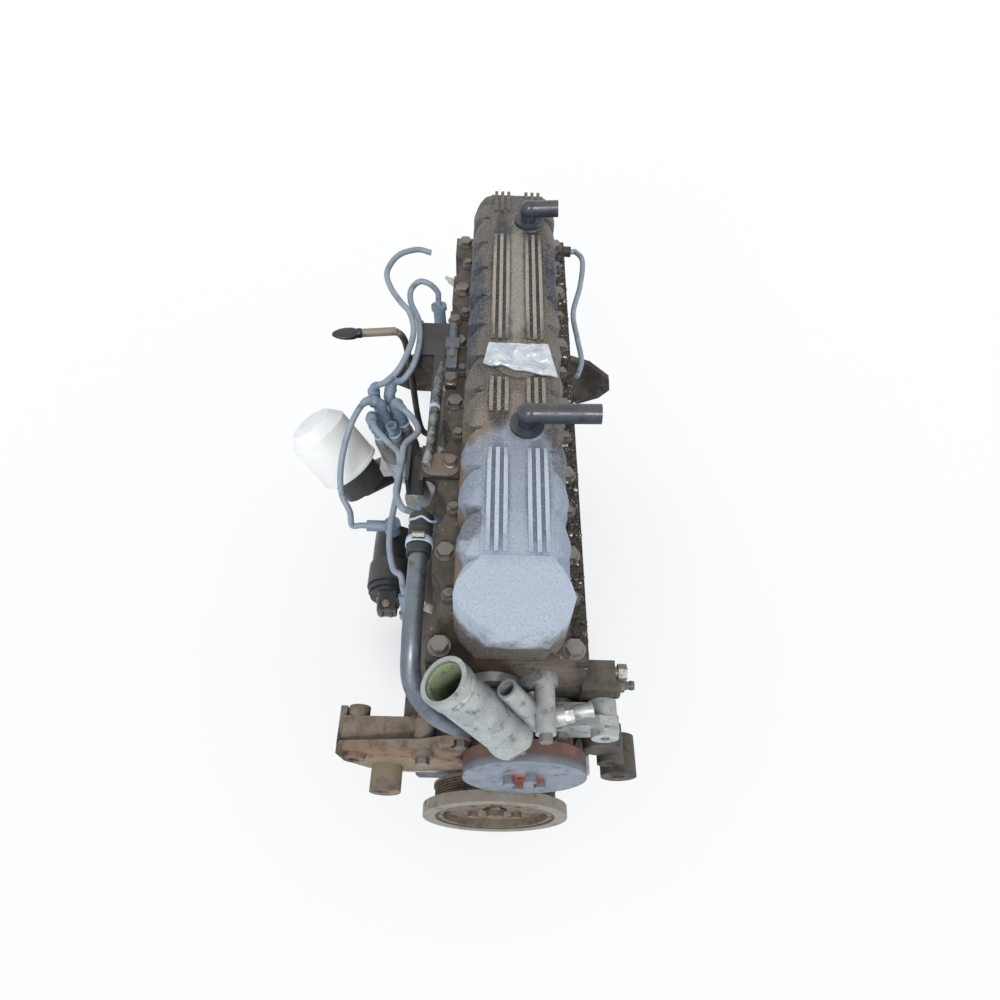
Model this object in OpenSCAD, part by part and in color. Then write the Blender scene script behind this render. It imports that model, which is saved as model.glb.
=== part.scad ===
// Overhead-valve inline-six engine, dressed with its front covers, ignition and brackets.
// Millimetres. The origin is the centre of the crankshaft's rear flange face.
// +X is the manifold side, +Y points to the rear and +Z is up.

/* [Crank train] */
// Cylinder bore
bore_d = 98.4; // [92:0.1:100]
// Piston stroke
stroke = 86.7; // [76:0.1:90]
// Distance between neighbouring cylinders
bore_pitch = 111.25; // [110:0.25:116]
// Connecting rod length between centres
rod_len = 155.6; // [150:0.1:165]
// Wrist pin centre to piston crown
crown_h = 40.66; // [36:0.1:46]
// Crown below the deck at top dead centre
deck_gap = 0.4; // [0.1:0.1:2]
// Main journal diameter
main_d = 63.5; // [60:0.1:66]
// Main bearing shell thickness
shell_t = 2; // [1.5:0.1:3]
// Crankpin diameter
crankpin_d = 53.2; // [50:0.1:56]
// Wrist pin diameter
wrist_d = 23.6; // [20:0.1:26]
// Counterweight radius
counter_r = 80; // [76:0.5:81]
// Web radius around the crankpin
web_pin_r = 36; // [32:0.5:37]
// Crank snout diameter
snout_d = 34; // [30:0.5:34]
// Rear flange diameter
flange_d = 98; // [92:0.5:100]
// Rear flange bolt circle
flange_pcd = 79.4; // [76:0.1:82]
// Rear flange bolt hole
flange_hole_d = 11; // [9:0.1:12]
// Pilot bore in the rear flange
pilot_d = 41; // [32:0.1:46]

/* [Block] */
// Thickness of the block beyond the middle of each end bore
end_bore = 71.875; // [70:0.125:80]
// Rear flange face to the rear of the block
rear_gap = 12; // [10:0.5:16]
// Half width of the sump rail
rail_half = 128; // [122:1:134]
// Half width of the block at the deck
deck_half = 81; // [78:1:86]
// Thickness of the bell housing plate
bell_t = 14; // [10:1:18]
// Running clearance of shafts, on the radius
run_gap = 0.05; // [0.02:0.01:0.1]
// Bulkhead thickness at each main bearing
bulkhead_t = 30; // [26:1:32]

/* [Camshaft and valve gear] */
// Camshaft centre, sideways from the crank
cam_x = -74; // [-76:0.5:-72]
// Camshaft centre above the crank
cam_z = 83.7; // [82:0.1:86]
// Cam journal diameter
cam_journal_d = 51.6; // [50:0.1:53]
// Cam base circle radius
cam_base_r = 17.5; // [16:0.1:18]
// Lobe lift
cam_lift = 6.4; // [5:0.1:7]
// Lifter diameter
lifter_d = 22.96; // [20:0.02:23.5]
// Lifter length
lifter_h = 50; // [44:1:54]
// Pushrod diameter
pushrod_d = 8; // [7:0.5:9]
// Valve stem position, sideways
valve_x = 14; // [12:0.5:16]
// Pushrod seat position, sideways
seat_x = -40; // [-41:0.5:-39]
// Rocker arm ratio
rocker_ratio = 1.6; // [1.5:0.05:1.7]
// Inlet valve position in front of the bore centre
inlet_y = 19; // [18:0.5:20]
// Exhaust valve position behind the bore centre
exhaust_y = 26; // [25:0.5:27]
// Inlet valve head diameter
inlet_d = 46; // [42:0.5:47]
// Exhaust valve head diameter
exhaust_d = 37; // [34:0.5:37]
// Valve stem diameter
stem_d = 8; // [7:0.1:9]
// Combustion chamber depth
chamber_h = 16; // [15:0.5:18]
// Gap left in the valve train at rest
lash = 0.2; // [0.1:0.05:0.4]

/* [Head and cover] */
// Head height
head_h = 92; // [88:0.5:98]
// Head gasket thickness
gasket_t = 1.2; // [1:0.1:2]
// Head side face on the plug side
head_left = -82; // [-86:0.5:-80]
// Head side face on the manifold side
head_right = 85; // [83:0.5:90]
// Head bolts on the plug side
bolt_left = -68; // [-70:0.5:-67]
// Head bolts on the manifold side
bolt_right = 70; // [69:0.5:74]
// Valve cover height above its gasket
cover_h = 89.5; // [86:0.5:100]
// Valve cover wall
cover_wall = 4; // [3:0.5:5]
// Valve cover edge on the plug side
cover_left = -55; // [-56:0.5:-54]
// Valve cover edge on the manifold side
cover_right = 64; // [62:0.5:65]
// Valve cover flange thickness
cover_flange_t = 7; // [5:0.5:9]
// Height of the ribs on the cover
rib_h = 3; // [2:0.5:5]

/* [Front drive] */
// Damper ring radius
damper_r = 95.7; // [90:0.1:96]
// Crank pulley radius behind the ring
crank_pulley_r = 83; // [70:0.5:84]
// Damper front face in front of the block
damper_front = 80; // [78:0.5:84]
// Water pump shaft, sideways
pump_x = 29; // [27:0.5:31]
// Water pump shaft above the crank
pump_z = 166; // [165:0.5:170]
// Water pump pulley radius
pump_pulley_r = 71.3; // [60:0.1:71.5]
// Water pump pulley rim depth
pump_pulley_w = 24; // [18:0.5:26]
// Timing cover depth
timing_depth = 26; // [24:0.5:28]
// Roller chain pitch
chain_pitch = 9.525; // [9.4:0.005:9.6]
// Crank sprocket teeth
crank_teeth = 16; // [16:1:16]

/* [Sump] */
// Depth of the deep part of the sump below the rail
sump_depth = 200; // [180:1:230]
// Depth of the shallow part
shallow_depth = 96; // [92:1:120]
// Sheet thickness of the sump
sump_wall = 2; // [1.5:0.1:3]

/* [Ignition and oil] */
// Lean of the distributor shaft
dist_lean = 12; // [10:0.5:13]
// Cam axis to distributor axis
dist_offset = 44; // [43:0.5:46]
// Distributor position along the engine
dist_y = -350; // [-352:0.5:-348]
// Distributor bowl radius
bowl_r = 27; // [24:0.5:30]
// Oil filter diameter
filter_d = 90; // [76:0.5:96]
// Oil filter length
filter_h = 98; // [90:1:130]
// Ignition lead diameter
lead_d = 8; // [7:0.5:8.5]

/* [Hidden] */
$fn = 48;
eps = 0.01;
cylinders = 6;
crank_r = stroke / 2;
deck_z = rod_len + crank_r + crown_h + deck_gap;
block_rear = -rear_gap;
block_len = (cylinders - 1) * bore_pitch + 2 * end_bore;
block_front = block_rear - block_len;
bore_1 = block_front + end_bore;
throws = [0, 120, 240, 240, 120, 0];
firing_slot = [0, 4, 2, 5, 1, 3];
head_bottom = deck_z + gasket_t;
head_top = head_bottom + head_h;
floor_z = head_top - 12;
cover_base = head_top + 1.5;
cover_top = cover_base + cover_h;
valve_seat_z = head_bottom + chamber_h;
bearing_half = 17;
pin_half = 16.5;
pivot_x = seat_x + (valve_x - seat_x) / (1 + rocker_ratio);
pivot_z = floor_z + 54;
tip_z = pivot_z - 4;
seat_z = pivot_z - 7;
push_lean = atan2(seat_x - cam_x, seat_z - cam_z);
nose_r = cam_base_r + cam_lift;
lifter_foot = nose_r + 0.3;
cam_teeth = 2 * crank_teeth;
chain_links = 48;
crank_pitch_r = chain_pitch / 2 / sin(180 / crank_teeth);
cam_pitch_r = chain_pitch / 2 / sin(180 / cam_teeth);
cam_dist = norm([cam_x, cam_z]);
chain_y = block_front - 10;
timing_front = block_front - timing_depth;
damper_y = block_front - damper_front;
pump_face = damper_y + 10;
dist_x = cam_x - dist_offset * cos(dist_lean);
dist_z = cam_z - dist_offset * sin(dist_lean);
dist_gear_r = 20;
lead_sides = 8;
ink = [0.12, 0.12, 0.13];
iron = [0.42, 0.33, 0.26];
rust = [0.45, 0.27, 0.18];
alloy = [0.72, 0.73, 0.74];
steel = [0.6, 0.6, 0.6];
lead_grey = [0.6, 0.66, 0.72];

// Cord routes, chosen by hand
front_tip = [-116, -602, 205];
front_way = unit([-8, 28, 36]);
mid_six = [[-152, -322, 326], [-136, -331, 344], [-123, -312, 356], [-119, -274, 360], [-123, -239, 363],
    [-135, -212, 369], [-136, -193, 376], [-125, -180, 380], [-111, -180, 376]];
mid_two = [[-140, -362, 326], [-120, -388, 331], [-112, -412, 335], [-126, -436, 338], [-127, -460, 337],
    [-130, -484, 332], [-130, -506, 332]];
mid_coil = [[-184, -356, 326], [-198, -378, 318], [-208, -404, 300], [-214, -430, 276], [-213, -452, 252],
    [-203, -467, 234]];
mid_front = [[-170, -392, 318], [-152, -412, 314], [-138, -420, 300], [-136, -446, 282], [-140, -478, 270],
    [-143, -506, 262], [-142, -534, 256], [-135, -560, 250]];
route_tail = [[-176, -330, 326], [-160, -336, 342], [-142, -328, 358], [-130, -296, 366], [-127, -266, 370],
    [-134, -240, 376], [-147, -222, 378], [-162, -198, 380], [-171, -171, 382], [-168, -146, 382], [-156, -123, 382],
    [-133, -109, 380], [-114, -110, 376]];
route_sensor = [[97.3, -20, 322], [101, -20, 322], [105, -20, 322], [114, -48, 326], [110, -90, 312], [100, -130, 292], [106, -170, 278],
    [112, -205, 266], [104, -235, 262]];

// Helpers

function bore_y(i) = bore_1 + i * bore_pitch;
function main_y(i) = bore_1 + (i - 0.5) * bore_pitch;
function wrist_z(a) = crank_r * cos(a) + sqrt(pow(rod_len, 2) - pow(crank_r * sin(a), 2));
function unit(v) = v / norm(v);

// A flat outline in X and Z, drawn out along Y
module draw_y(front, rear) {
    translate([0, rear, 0]) rotate([90, 0, 0]) linear_extrude(rear - front) children();
}

// A flat outline in Y and Z, drawn out along X
module draw_x(left, right) {
    translate([left, 0, 0]) rotate([90, 0, 90]) linear_extrude(right - left) children();
}

// A round bar along Y
module bar_y(x, z, front, rear, d) {
    translate([x, rear, z]) rotate([90, 0, 0]) cylinder(h = rear - front, d = d);
}

// A ring along Y
module ring_y(x, z, front, rear, d, hole) {
    draw_y(front, rear) translate([x, z]) difference() {
        circle(d = d);
        circle(d = hole);
    }
}

// A round bar along X
module bar_x(y, z, left, right, d) {
    translate([left, y, z]) rotate([0, 90, 0]) cylinder(h = right - left, d = d);
}

// Turns +Z to point from a to b, and starts at a
module aim(a, b) {
    v = b - a;
    translate(a) rotate([0, acos(v.z / norm(v)), atan2(v.y, v.x)]) children();
}

// A round bar between two points
module bar(a, b, d) {
    aim(a, b) cylinder(h = norm(b - a), d = d);
}

// Hexagon bolt with a washer face, its shank pointing down from the origin
module hex_bolt(d, length, head_d, head_t) {
    cylinder(h = head_t, d = head_d, $fn = 6);
    translate([0, 0, -length]) cylinder(h = length + eps, d = d);
}

// Hexagon bolt whose shank points to the rear
module bolt_y(x, y, z, d, length, head_d, head_t) {
    translate([x, y, z]) rotate([90, 0, 0]) hex_bolt(d, length, head_d, head_t);
}

// The frame of the distributor shaft, its own +Z up the shaft
module dist_frame() {
    translate([dist_x, dist_y, dist_z]) rotate([0, -dist_lean, 0]) children();
}

// The frame of one pushrod, its own +Z up the rod from the cam axis
module push_frame(y) {
    translate([cam_x, y, cam_z]) rotate([0, push_lean, 0]) children();
}

// A point on the axis of a plug boot, and one on the axis of a tower on the distributor cap
function plug_point(i, t) = [plug_seat_x - t * cos(plug_rise), bore_y(i) + plug_y, on_plug(plug_seat_x) + t * sin(plug_rise)];
function cap_point(a, r, z) = [dist_x + r * cos(a) * cos(dist_lean) - z * sin(dist_lean), dist_y + r * sin(a),
    dist_z + r * cos(a) * sin(dist_lean) + z * cos(dist_lean)];
function cap_lead(a, r, z) = [cap_point(a, r, z - 6), cap_point(a, r, z + 8), cap_point(a, r, z + 20)];
function plug_lead(i) = [plug_point(i, 82), plug_point(i, 70), plug_point(i, 56)];
boot_bend = 50;
bent_way = unit([-2, 7, 32]);
function bent_lead(i) = [for (t = [52, 40, 26]) plug_point(i, boot_bend) + bent_way * t];

// Points on a smooth curve through the route
function spline(p, i, t) = let (
    a = p[max(i - 1, 0)],
    b = p[i],
    c = p[i + 1],
    d = p[min(i + 2, len(p) - 1)]
) 0.5 * (2 * b + (c - a) * t + (2 * a - 5 * b + 4 * c - d) * t * t + (3 * b - a - 3 * c + d) * t * t * t);
function smooth(p, steps) = concat(
    [for (i = [0:len(p) - 2], k = [0:steps - 1]) spline(p, i, k / steps)], [p[len(p) - 1]]);
function heading(p, i) = unit(p[min(i + 1, len(p) - 1)] - p[max(i - 1, 0)]);
function carry(n, t) = unit(n - (n * t) * t);
function first_normal(t) = carry(abs(t.z) < 0.9 ? [0, 0, 1] : [1, 0, 0], t);
function normals(p, i, n) = i == len(p) ? [] : let (m = carry(n, heading(p, i))) concat([m], normals(p, i + 1, m));

// A round tube swept along a path, closed at both ends
module sweep(path, d, sides) {
    side = normals(path, 0, first_normal(heading(path, 0)));
    points = [for (i = [0:len(path) - 1], k = [0:sides - 1]) let (
        a = 360 * k / sides,
        t = heading(path, i)
    ) path[i] + d / 2 * (cos(a) * side[i] + sin(a) * cross(t, side[i]))];
    walls = [for (i = [0:len(path) - 2], k = [0:sides - 1]) let (n = (k + 1) % sides)
        [i * sides + k, (i + 1) * sides + k, (i + 1) * sides + n, i * sides + n]];
    last = (len(path) - 1) * sides;
    polyhedron(points, concat(walls, [[for (k = [0:sides - 1]) k]],
        [[for (k = [sides - 1:-1:0]) last + k]]), convexity = 6);
}

// Cylinder block

rail_h = 14;
block_outline = [[-rail_half, 0], [rail_half, 0], [rail_half, rail_h], [112, 20], [112, 62], [86, 104],
    [76, 130], [74, deck_z - 26], [deck_half, deck_z - 18], [deck_half, deck_z], [-deck_half, deck_z],
    [-deck_half, deck_z - 22], [-88, deck_z - 30], [-93, 150], [-110, 118], [-122, 100], [-122, 20],
    [-rail_half, rail_h]];
bell_outline = [[112, 0], [150, -21], [189, -2], [207, 21], [202, 47], [161, 82], [123, 95], [112, 140],
    [70, 176], [-70, 176], [-112, 145], [-144, 102], [-182, 71], [-201, 44], [-202, 17], [-174, 2], [-112, 0]];
bell_holes = [[188, 26], [152, 70], [96, 142], [-96, 146], [-160, 80], [-188, 26]];
core_plug_d = 44;
core_plug_z = 165;
crank_room_r = counter_r + 6;
cam_room_r = nose_r + 4;

module cam_and_crank_room(i) {
    front = main_y(i) + bulkhead_t / 2;
    rear = main_y(i + 1) - bulkhead_t / 2;
    bar_y(0, 0, front, rear, 2 * crank_room_r);
    bar_y(cam_x, cam_z, front, rear, 2 * cam_room_r);
    translate([0, bore_y(i), 40]) cylinder(h = deck_z, d = bore_d);
}

module push_bores(y) {
    push_frame(y) {
        translate([0, 0, cam_room_r - 8]) cylinder(h = lifter_h + 32, d = lifter_d + 2 * run_gap);
        cylinder(h = deck_z, d = pushrod_d + 4.6);
    }
}

module block_ribs() {
    for (i = [0:cylinders]) translate([0, main_y(i), 0]) {
        translate([100, -5, rail_h - 2]) cube([18, 10, 48]);
        translate([-126, -5, rail_h - 2]) cube([8, 10, 70]);
    }
}

module distributor_boss() {
    dist_frame() translate([0, 0, -34]) cylinder(h = 64, d = 54);
}

filter_boss_y = dist_y + 70;

module filter_boss() {
    bar_x(filter_boss_y, 96, -140, -110, 58);
}

module cylinder_block() {
    color(iron) difference() {
        union() {
            draw_y(block_front, block_rear) polygon(block_outline);
            draw_y(block_rear - bell_t, block_rear) polygon(bell_outline);
            block_ribs();
            distributor_boss();
            filter_boss();
            bar_y(-89, 168, block_front, block_front + 30, 26);
        }
        for (i = [0:cylinders - 1]) {
            cam_and_crank_room(i);
            push_bores(bore_y(i) - inlet_y);
            push_bores(bore_y(i) + exhaust_y);
            translate([74 - 12, bore_y(i), core_plug_z]) rotate([0, 90, 0]) cylinder(h = 20, d = core_plug_d);
        }
        bar_y(0, 0, block_front - eps, block_rear + eps, main_d + 2 * shell_t);
        bar_y(0, 0, block_rear - 14, block_rear + eps, flange_d + 4);
        bar_y(cam_x, cam_z, block_front - eps, block_rear + eps, cam_journal_d + 2 * run_gap);
        dist_frame() translate([0, 0, -13]) cylinder(h = 60, d = 2 * dist_gear_r + 1.2);
        dist_frame() translate([0, 0, 30]) cylinder(h = 80, r = 26.5);
        dist_frame() translate([0, 0, -90]) cylinder(h = 90, d = 12 + 2 * run_gap);
        for (i = [0:cylinders], x = [bolt_left, bolt_right]) {
            translate([x, main_y(i), deck_z - 45]) cylinder(h = 50, d = 12.4);
        }
        for (i = [0:cylinders], x = [-1, 1]) {
            translate([x * cap_bolt_x, main_y(i), -eps]) cylinder(h = 50, d = 12.4);
        }
        for (p = bell_holes) bar_y(p[0], p[1], block_rear - bell_t - 1, block_rear + 1, 11);
        bar_y(-89, 168, block_front - 1, block_front + 20, 10);
        bar_y(-45, 192, block_front - 1, block_front + 20, 10);
        bar_y(66, 228, block_front - 1, block_front + 20, 8);
        bar_x(filter_boss_y, 96, -141, -118, 20);
        translate([-100, -215, 96]) rotate([0, -90, 0]) cylinder(h = 30, d = 10);
    }
}

// Main bearing caps with their shells

cap_bolt_x = 58;
cap_half = 69;

module bearing_cap(i) {
    rear_wall = i == cylinders ? block_rear : main_y(i) + bulkhead_t / 2 - 2;
    front_wall = main_y(i) - bulkhead_t / 2 + 2;
    difference() {
        draw_y(front_wall, rear_wall) polygon([[-cap_half, 0], [cap_half, 0], [cap_half, -26],
            [i == cylinders ? cap_half : 38, -52], [i == cylinders ? -cap_half : -38, -52], [-cap_half, -26]]);
        bar_y(0, 0, front_wall - 1, rear_wall + 1, main_d + 2 * shell_t);
        if (i == cylinders) bar_y(0, 0, block_rear - 14, block_rear + 1, flange_d + 4);
        for (x = [-1, 1]) translate([x * cap_bolt_x, main_y(i), -60]) cylinder(h = 80, d = 12.4);
    }
}

module bearing_shell(i) {
    for (s = [-1, 1]) difference() {
        ring_y(0, 0, main_y(i) - 13, min(main_y(i) + 13, block_rear - 14.5), main_d + 2 * shell_t - 0.04, main_d + 2 * run_gap);
        translate([-50, main_y(i) - 20, s > 0 ? -50 : -0.02]) cube([100, 40, 50.02]);
    }
}

module main_bearing_caps() {
    color(iron) for (i = [0:cylinders]) {
        bearing_cap(i);
        bearing_shell(i);
        for (x = [-1, 1]) translate([x * cap_bolt_x, main_y(i), -52.02]) rotate([180, 0, 0]) hex_bolt(12, 90, 19, 9);
    }
}

// Crankshaft

web_t = bore_pitch / 2 - pin_half - bearing_half;

module web_outline() {
    circle(r = 42);
    translate([0, crank_r]) circle(r = web_pin_r);
    translate([-web_pin_r + 2, 0]) square([2 * web_pin_r - 4, crank_r]);
    intersection() {
        circle(r = counter_r);
        translate([-70, -counter_r]) square([140, counter_r - 14]);
    }
}

module crankshaft() {
    color(steel) difference() {
        union() {
            bar_y(0, 0, damper_y + 20, main_y(0), snout_d);
            for (i = [0:cylinders]) bar_y(0, 0, main_y(i) - bearing_half - (i > 0 ? 1 : 0), main_y(i) + bearing_half + 1, main_d);
            for (i = [0:cylinders - 1]) rotate([0, throws[i], 0]) {
                bar_y(0, crank_r, bore_y(i) - pin_half - 1, bore_y(i) + pin_half + 1, crankpin_d);
                draw_y(bore_y(i) - pin_half - web_t, bore_y(i) - pin_half) web_outline();
                draw_y(bore_y(i) + pin_half, bore_y(i) + pin_half + web_t) web_outline();
            }
            bar_y(0, 0, block_rear - 13.5, 0, flange_d);
        }
        for (a = [30:60:330]) rotate([0, a, 0]) bar_y(0, flange_pcd / 2, -20, 1, flange_hole_d);
        bar_y(0, 0, -22, 1, pilot_d);
        bar_y(0, 0, damper_y, damper_y + 60, 14);
    }
}

// Pistons, their rings and wrist pins

piston_d = bore_d - 2 * run_gap;
skirt_h = 30;
ring_tops = [6, 13, 20];

module piston(i) {
    translate([0, bore_y(i), wrist_z(throws[i])]) {
        difference() {
            translate([0, 0, -skirt_h]) cylinder(h = skirt_h + crown_h, d = piston_d);
            translate([0, 0, -skirt_h - 1]) cylinder(h = skirt_h + crown_h - 8, d = piston_d - 14);
            for (t = ring_tops) translate([0, 0, crown_h - t - 2]) difference() {
                cylinder(h = 2, d = piston_d + 2);
                translate([0, 0, -1]) cylinder(h = 4, d = piston_d - 8);
            }
            bar_y(0, 0, -60, 60, wrist_d + 2 * run_gap);
        }
        for (s = [-1, 1]) difference() {
            intersection() {
                translate([-17, s > 0 ? 14 : -40, -16]) cube([34, 26, 50]);
                translate([0, 0, -20]) cylinder(h = 60, d = piston_d - 13.9);
            }
            bar_y(0, 0, -60, 60, wrist_d + 2 * run_gap);
        }
    }
}

module piston_rings(i) {
    for (t = ring_tops) translate([0, bore_y(i), wrist_z(throws[i]) + crown_h - t - 1.9]) difference() {
        cylinder(h = 1.8, d = bore_d - 0.04);
        translate([0, 0, -1]) cylinder(h = 4, d = piston_d - 7);
    }
}

module wrist_pin(i) {
    ring_y(0, wrist_z(throws[i]), bore_y(i) - 38, bore_y(i) + 38, wrist_d, wrist_d - 9);
}

module piston_pair(first) {
    for (i = [first, cylinders - 1 - first]) {
        piston(i);
        piston_rings(i);
        wrist_pin(i);
    }
}

// Connecting rods

module rod_outline() {
    difference() {
        union() {
            circle(r = crankpin_d / 2 + 9);
            translate([0, rod_len]) circle(r = wrist_d / 2 + 7);
            translate([-36, -14]) square([72, 28]);
            polygon([[-17, 25], [17, 25], [10, rod_len - 10], [-10, rod_len - 10]]);
        }
        circle(r = crankpin_d / 2 + run_gap);
        translate([0, rod_len]) circle(r = wrist_d / 2 + run_gap);
    }
}

module connecting_rods() {
    color(steel) for (i = [0:cylinders - 1]) {
        a = throws[i];
        pin = [crank_r * sin(a), bore_y(i), crank_r * cos(a)];
        translate(pin) rotate([0, -asin(crank_r * sin(a) / rod_len), 0]) difference() {
            draw_y(-12, 12) rod_outline();
            for (s = [-1, 1]) translate([0, s > 0 ? 8 : -18, 0]) {
                draw_y(0, 10) polygon([[-7, 46], [7, 46], [5, rod_len - 22], [-5, rod_len - 22]]);
            }
        }
    }
}

// Camshaft and its drive

lobe_w = 14;

function cam_angle(i) = firing_slot[i] * 60;

module lobe_outline() {
    tip_r = 7;
    reach = nose_r - tip_r;
    g = acos((cam_base_r - tip_r) / reach);
    circle(r = cam_base_r);
    translate([0, reach]) circle(r = tip_r);
    inner = 0.98;
    polygon([for (p = [[-cam_base_r * sin(g), cam_base_r * cos(g)], [cam_base_r * sin(g), cam_base_r * cos(g)],
        [tip_r * sin(g), reach + tip_r * cos(g)], [-tip_r * sin(g), reach + tip_r * cos(g)]]) [p[0] * inner, p[1]]]);
}

module cam_lobe(y, angle) {
    rotate([0, angle, 0]) draw_y(y - lobe_w / 2, y + lobe_w / 2) lobe_outline();
}

module camshaft() {
    gear_r = dist_offset - dist_gear_r - 0.3;
    color(steel) translate([cam_x, 0, cam_z]) {
        ring_y(0, 0, chain_y - 4, chain_y + 12, 30, 8.2);
        bar_y(0, 0, chain_y + 11, block_rear - 30, 30);
        for (i = [0:2:cylinders]) bar_y(0, 0, main_y(i) - 14, main_y(i) + (i == cylinders ? 4 : 14), cam_journal_d);
        for (i = [0:cylinders - 1]) {
            cam_lobe(bore_y(i) - inlet_y, cam_angle(i));
            cam_lobe(bore_y(i) + exhaust_y, cam_angle(i) - 110);
        }
        difference() {
            bar_y(0, 0, dist_y - 9, dist_y + 9, 2 * gear_r);
            for (a = [0:30:330]) rotate([0, a, 0]) bar_y(0, gear_r + 1, dist_y - 10, dist_y + 10, 6);
        }
    }
}

// Points on the pitch line of the chain, u counted in links from where it meets the cam sprocket
span_turn = asin((cam_pitch_r - crank_pitch_r) / cam_dist);
line_angle = atan2(cam_z, cam_x);
cam_wrap = (180 + 2 * span_turn) / 360 * cam_teeth;
crank_wrap = (180 - 2 * span_turn) / 360 * crank_teeth;
span_links = (chain_links - cam_wrap - crank_wrap) / 2;
function polar(c, r, a) = [c[0] + r * cos(a), c[1] + r * sin(a)];
cam_start = line_angle - 90 - span_turn;
crank_start = line_angle + 90 + span_turn;
function cam_spot(u) = polar([cam_x, cam_z], cam_pitch_r, cam_start + u * 360 / cam_teeth);
function crank_spot(u) = polar([0, 0], crank_pitch_r, crank_start + u * 360 / crank_teeth);
function mix(a, b, t) = a + (b - a) * t;
function chain_spot(u) =
    u <= cam_wrap ? cam_spot(u) :
    u <= cam_wrap + span_links ? mix(cam_spot(cam_wrap), crank_spot(0), (u - cam_wrap) / span_links) :
    u <= cam_wrap + span_links + crank_wrap ? crank_spot(u - cam_wrap - span_links) :
    mix(crank_spot(crank_wrap), cam_spot(0), (u - cam_wrap - span_links - crank_wrap) / span_links);

roller_d = 5.8;
link_w = 7.4;
plate_t = 1.1;

module link_outline(a, b, hole) {
    difference() {
        union() {
            translate(a) circle(d = 7.6);
            translate(b) circle(d = 7.6);
            translate(a) rotate(atan2(b[1] - a[1], b[0] - a[0])) translate([0, -2.6]) square([norm(b - a), 5.2]);
        }
        if (hole > 0) for (p = [a, b]) translate(p) circle(d = hole);
    }
}

module chain_link(u) {
    a = chain_spot(u);
    b = chain_spot((u + 1) % chain_links);
    outer = u % 2 == 0;
    half = link_w / 2 + (outer ? plate_t + 0.1 : 0);
    for (y = [-half, half - plate_t]) draw_y(chain_y + y, chain_y + y + plate_t) link_outline(a, b, outer ? 0 : 3.2);
    for (p = [a, b]) {
        if (outer) bar_y(p[0], p[1], chain_y - half + eps, chain_y + half - eps, 2.9);
        if (!outer) ring_y(p[0], p[1], chain_y - half + plate_t - eps, chain_y + half - plate_t + eps, roller_d, 3.2);
    }
}

module timing_chain() {
    color(steel) for (u = [0:chain_links - 1]) chain_link(u);
}

module sprocket(center, pitch_r, teeth, phase, hole) {
    translate([center[0], 0, center[1]]) difference() {
        draw_y(chain_y - 2.3, chain_y + 2.3) difference() {
            circle(r = pitch_r + 1.2);
            for (k = [0:teeth - 1]) rotate(phase + 360 * k / teeth) translate([pitch_r + 0.2, 0]) circle(d = roller_d + 0.9);
            circle(d = hole);
        }
        if (teeth == cam_teeth) for (a = [45:90:315]) rotate([0, a, 0]) bar_y(0, pitch_r * 0.62, chain_y - 5, chain_y + 5, 16);
    }
}

module crank_sprocket() {
    first = ceil(cam_wrap + span_links) - cam_wrap - span_links;
    color(steel) {
        sprocket([0, 0], crank_pitch_r, crank_teeth, crank_start + first * 360 / crank_teeth, snout_d + 0.04);
        ring_y(0, 0, chain_y + 2.3 - eps, main_y(0) - bearing_half - 0.1, snout_d + 6.2, snout_d + 0.04);
    }
}

module cam_sprocket() {
    color(steel) {
        sprocket([cam_x, cam_z], cam_pitch_r, cam_teeth, cam_start, 30.04);
        bolt_y(cam_x, chain_y - 4, cam_z, 8, 14, 20, 4.5);
        ring_y(cam_x, cam_z, chain_y + 2.3 - eps, block_front - 0.6, 44, 30.04);
    }
}

// Timing cover

timing_pad = 9;

timing_foot = crank_pitch_r + timing_pad + 24;

module timing_shape(grow) {
    translate([cam_x, cam_z]) circle(r = cam_pitch_r + timing_pad + grow);
    circle(r = crank_pitch_r + timing_pad + 8 + grow);
    reach = cam_pitch_r + timing_pad + grow;
    foot = crank_pitch_r + timing_pad + 8 + grow;
    rotate(line_angle) polygon([[0, -foot + 2], [0, foot - 2], [cam_dist, reach - 2], [cam_dist, -reach + 2]]);
}

module timing_cover() {
    color(alloy) difference() {
        union() {
            draw_y(timing_front, block_front) timing_shape(4);
            draw_y(block_front - 6, block_front) timing_shape(16);
            translate([-rail_half, timing_front + 2, 0]) cube([2 * rail_half, timing_depth - 2, 12]);
            bar_y(0, 0, timing_front - 5, timing_front + 1, 64);
        }
        draw_y(timing_front + 4, block_front + 1) timing_shape(0);
        bar_y(0, 0, timing_front - 6, timing_front + 10, 52);
        draw_y(timing_front - 6, block_front + 1) difference() {
            translate([-rail_half - 1, -90]) square([2 * rail_half + 2, 90]);
            circle(r = timing_foot);
        }
        for (p = timing_bolts) bar_y(p[0], p[1], block_front - 30, block_front + 1, 7);
        for (x = [-118, 118]) translate([x, timing_front + 14, -1]) cylinder(h = 20, d = 7);
    }
}

timing_bolt_r = cam_pitch_r + timing_pad + 10.2;
timing_bolts = concat(
    [for (a = [20, 75, 130, 185, 240]) polar([cam_x, cam_z], timing_bolt_r, a)],
    [polar([0, 0], crank_pitch_r + timing_pad + 18.4, 25)]);

// Sump

sump_top = -1.5;
sump_flange_t = 3;
sump_front = timing_front + 4;
sump_rear = block_rear - bell_t - 4;
sump_half = rail_half - 16;

module sump_side(grow) {
    polygon([[sump_front + 10 - grow, sump_top + 1], [sump_front + 14 - grow, -shallow_depth + 12 - grow],
        [sump_front + 26 - grow, -shallow_depth - grow], [-560 - grow, -shallow_depth - grow],
        [-530 - grow, -sump_depth + 12 - grow], [-518, -sump_depth - grow], [-72, -sump_depth - grow],
        [-60 + grow, -sump_depth + 12 - grow], [sump_rear - 14 + grow, -80], [sump_rear - 14 + grow, sump_top + 1]]);
}

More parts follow.
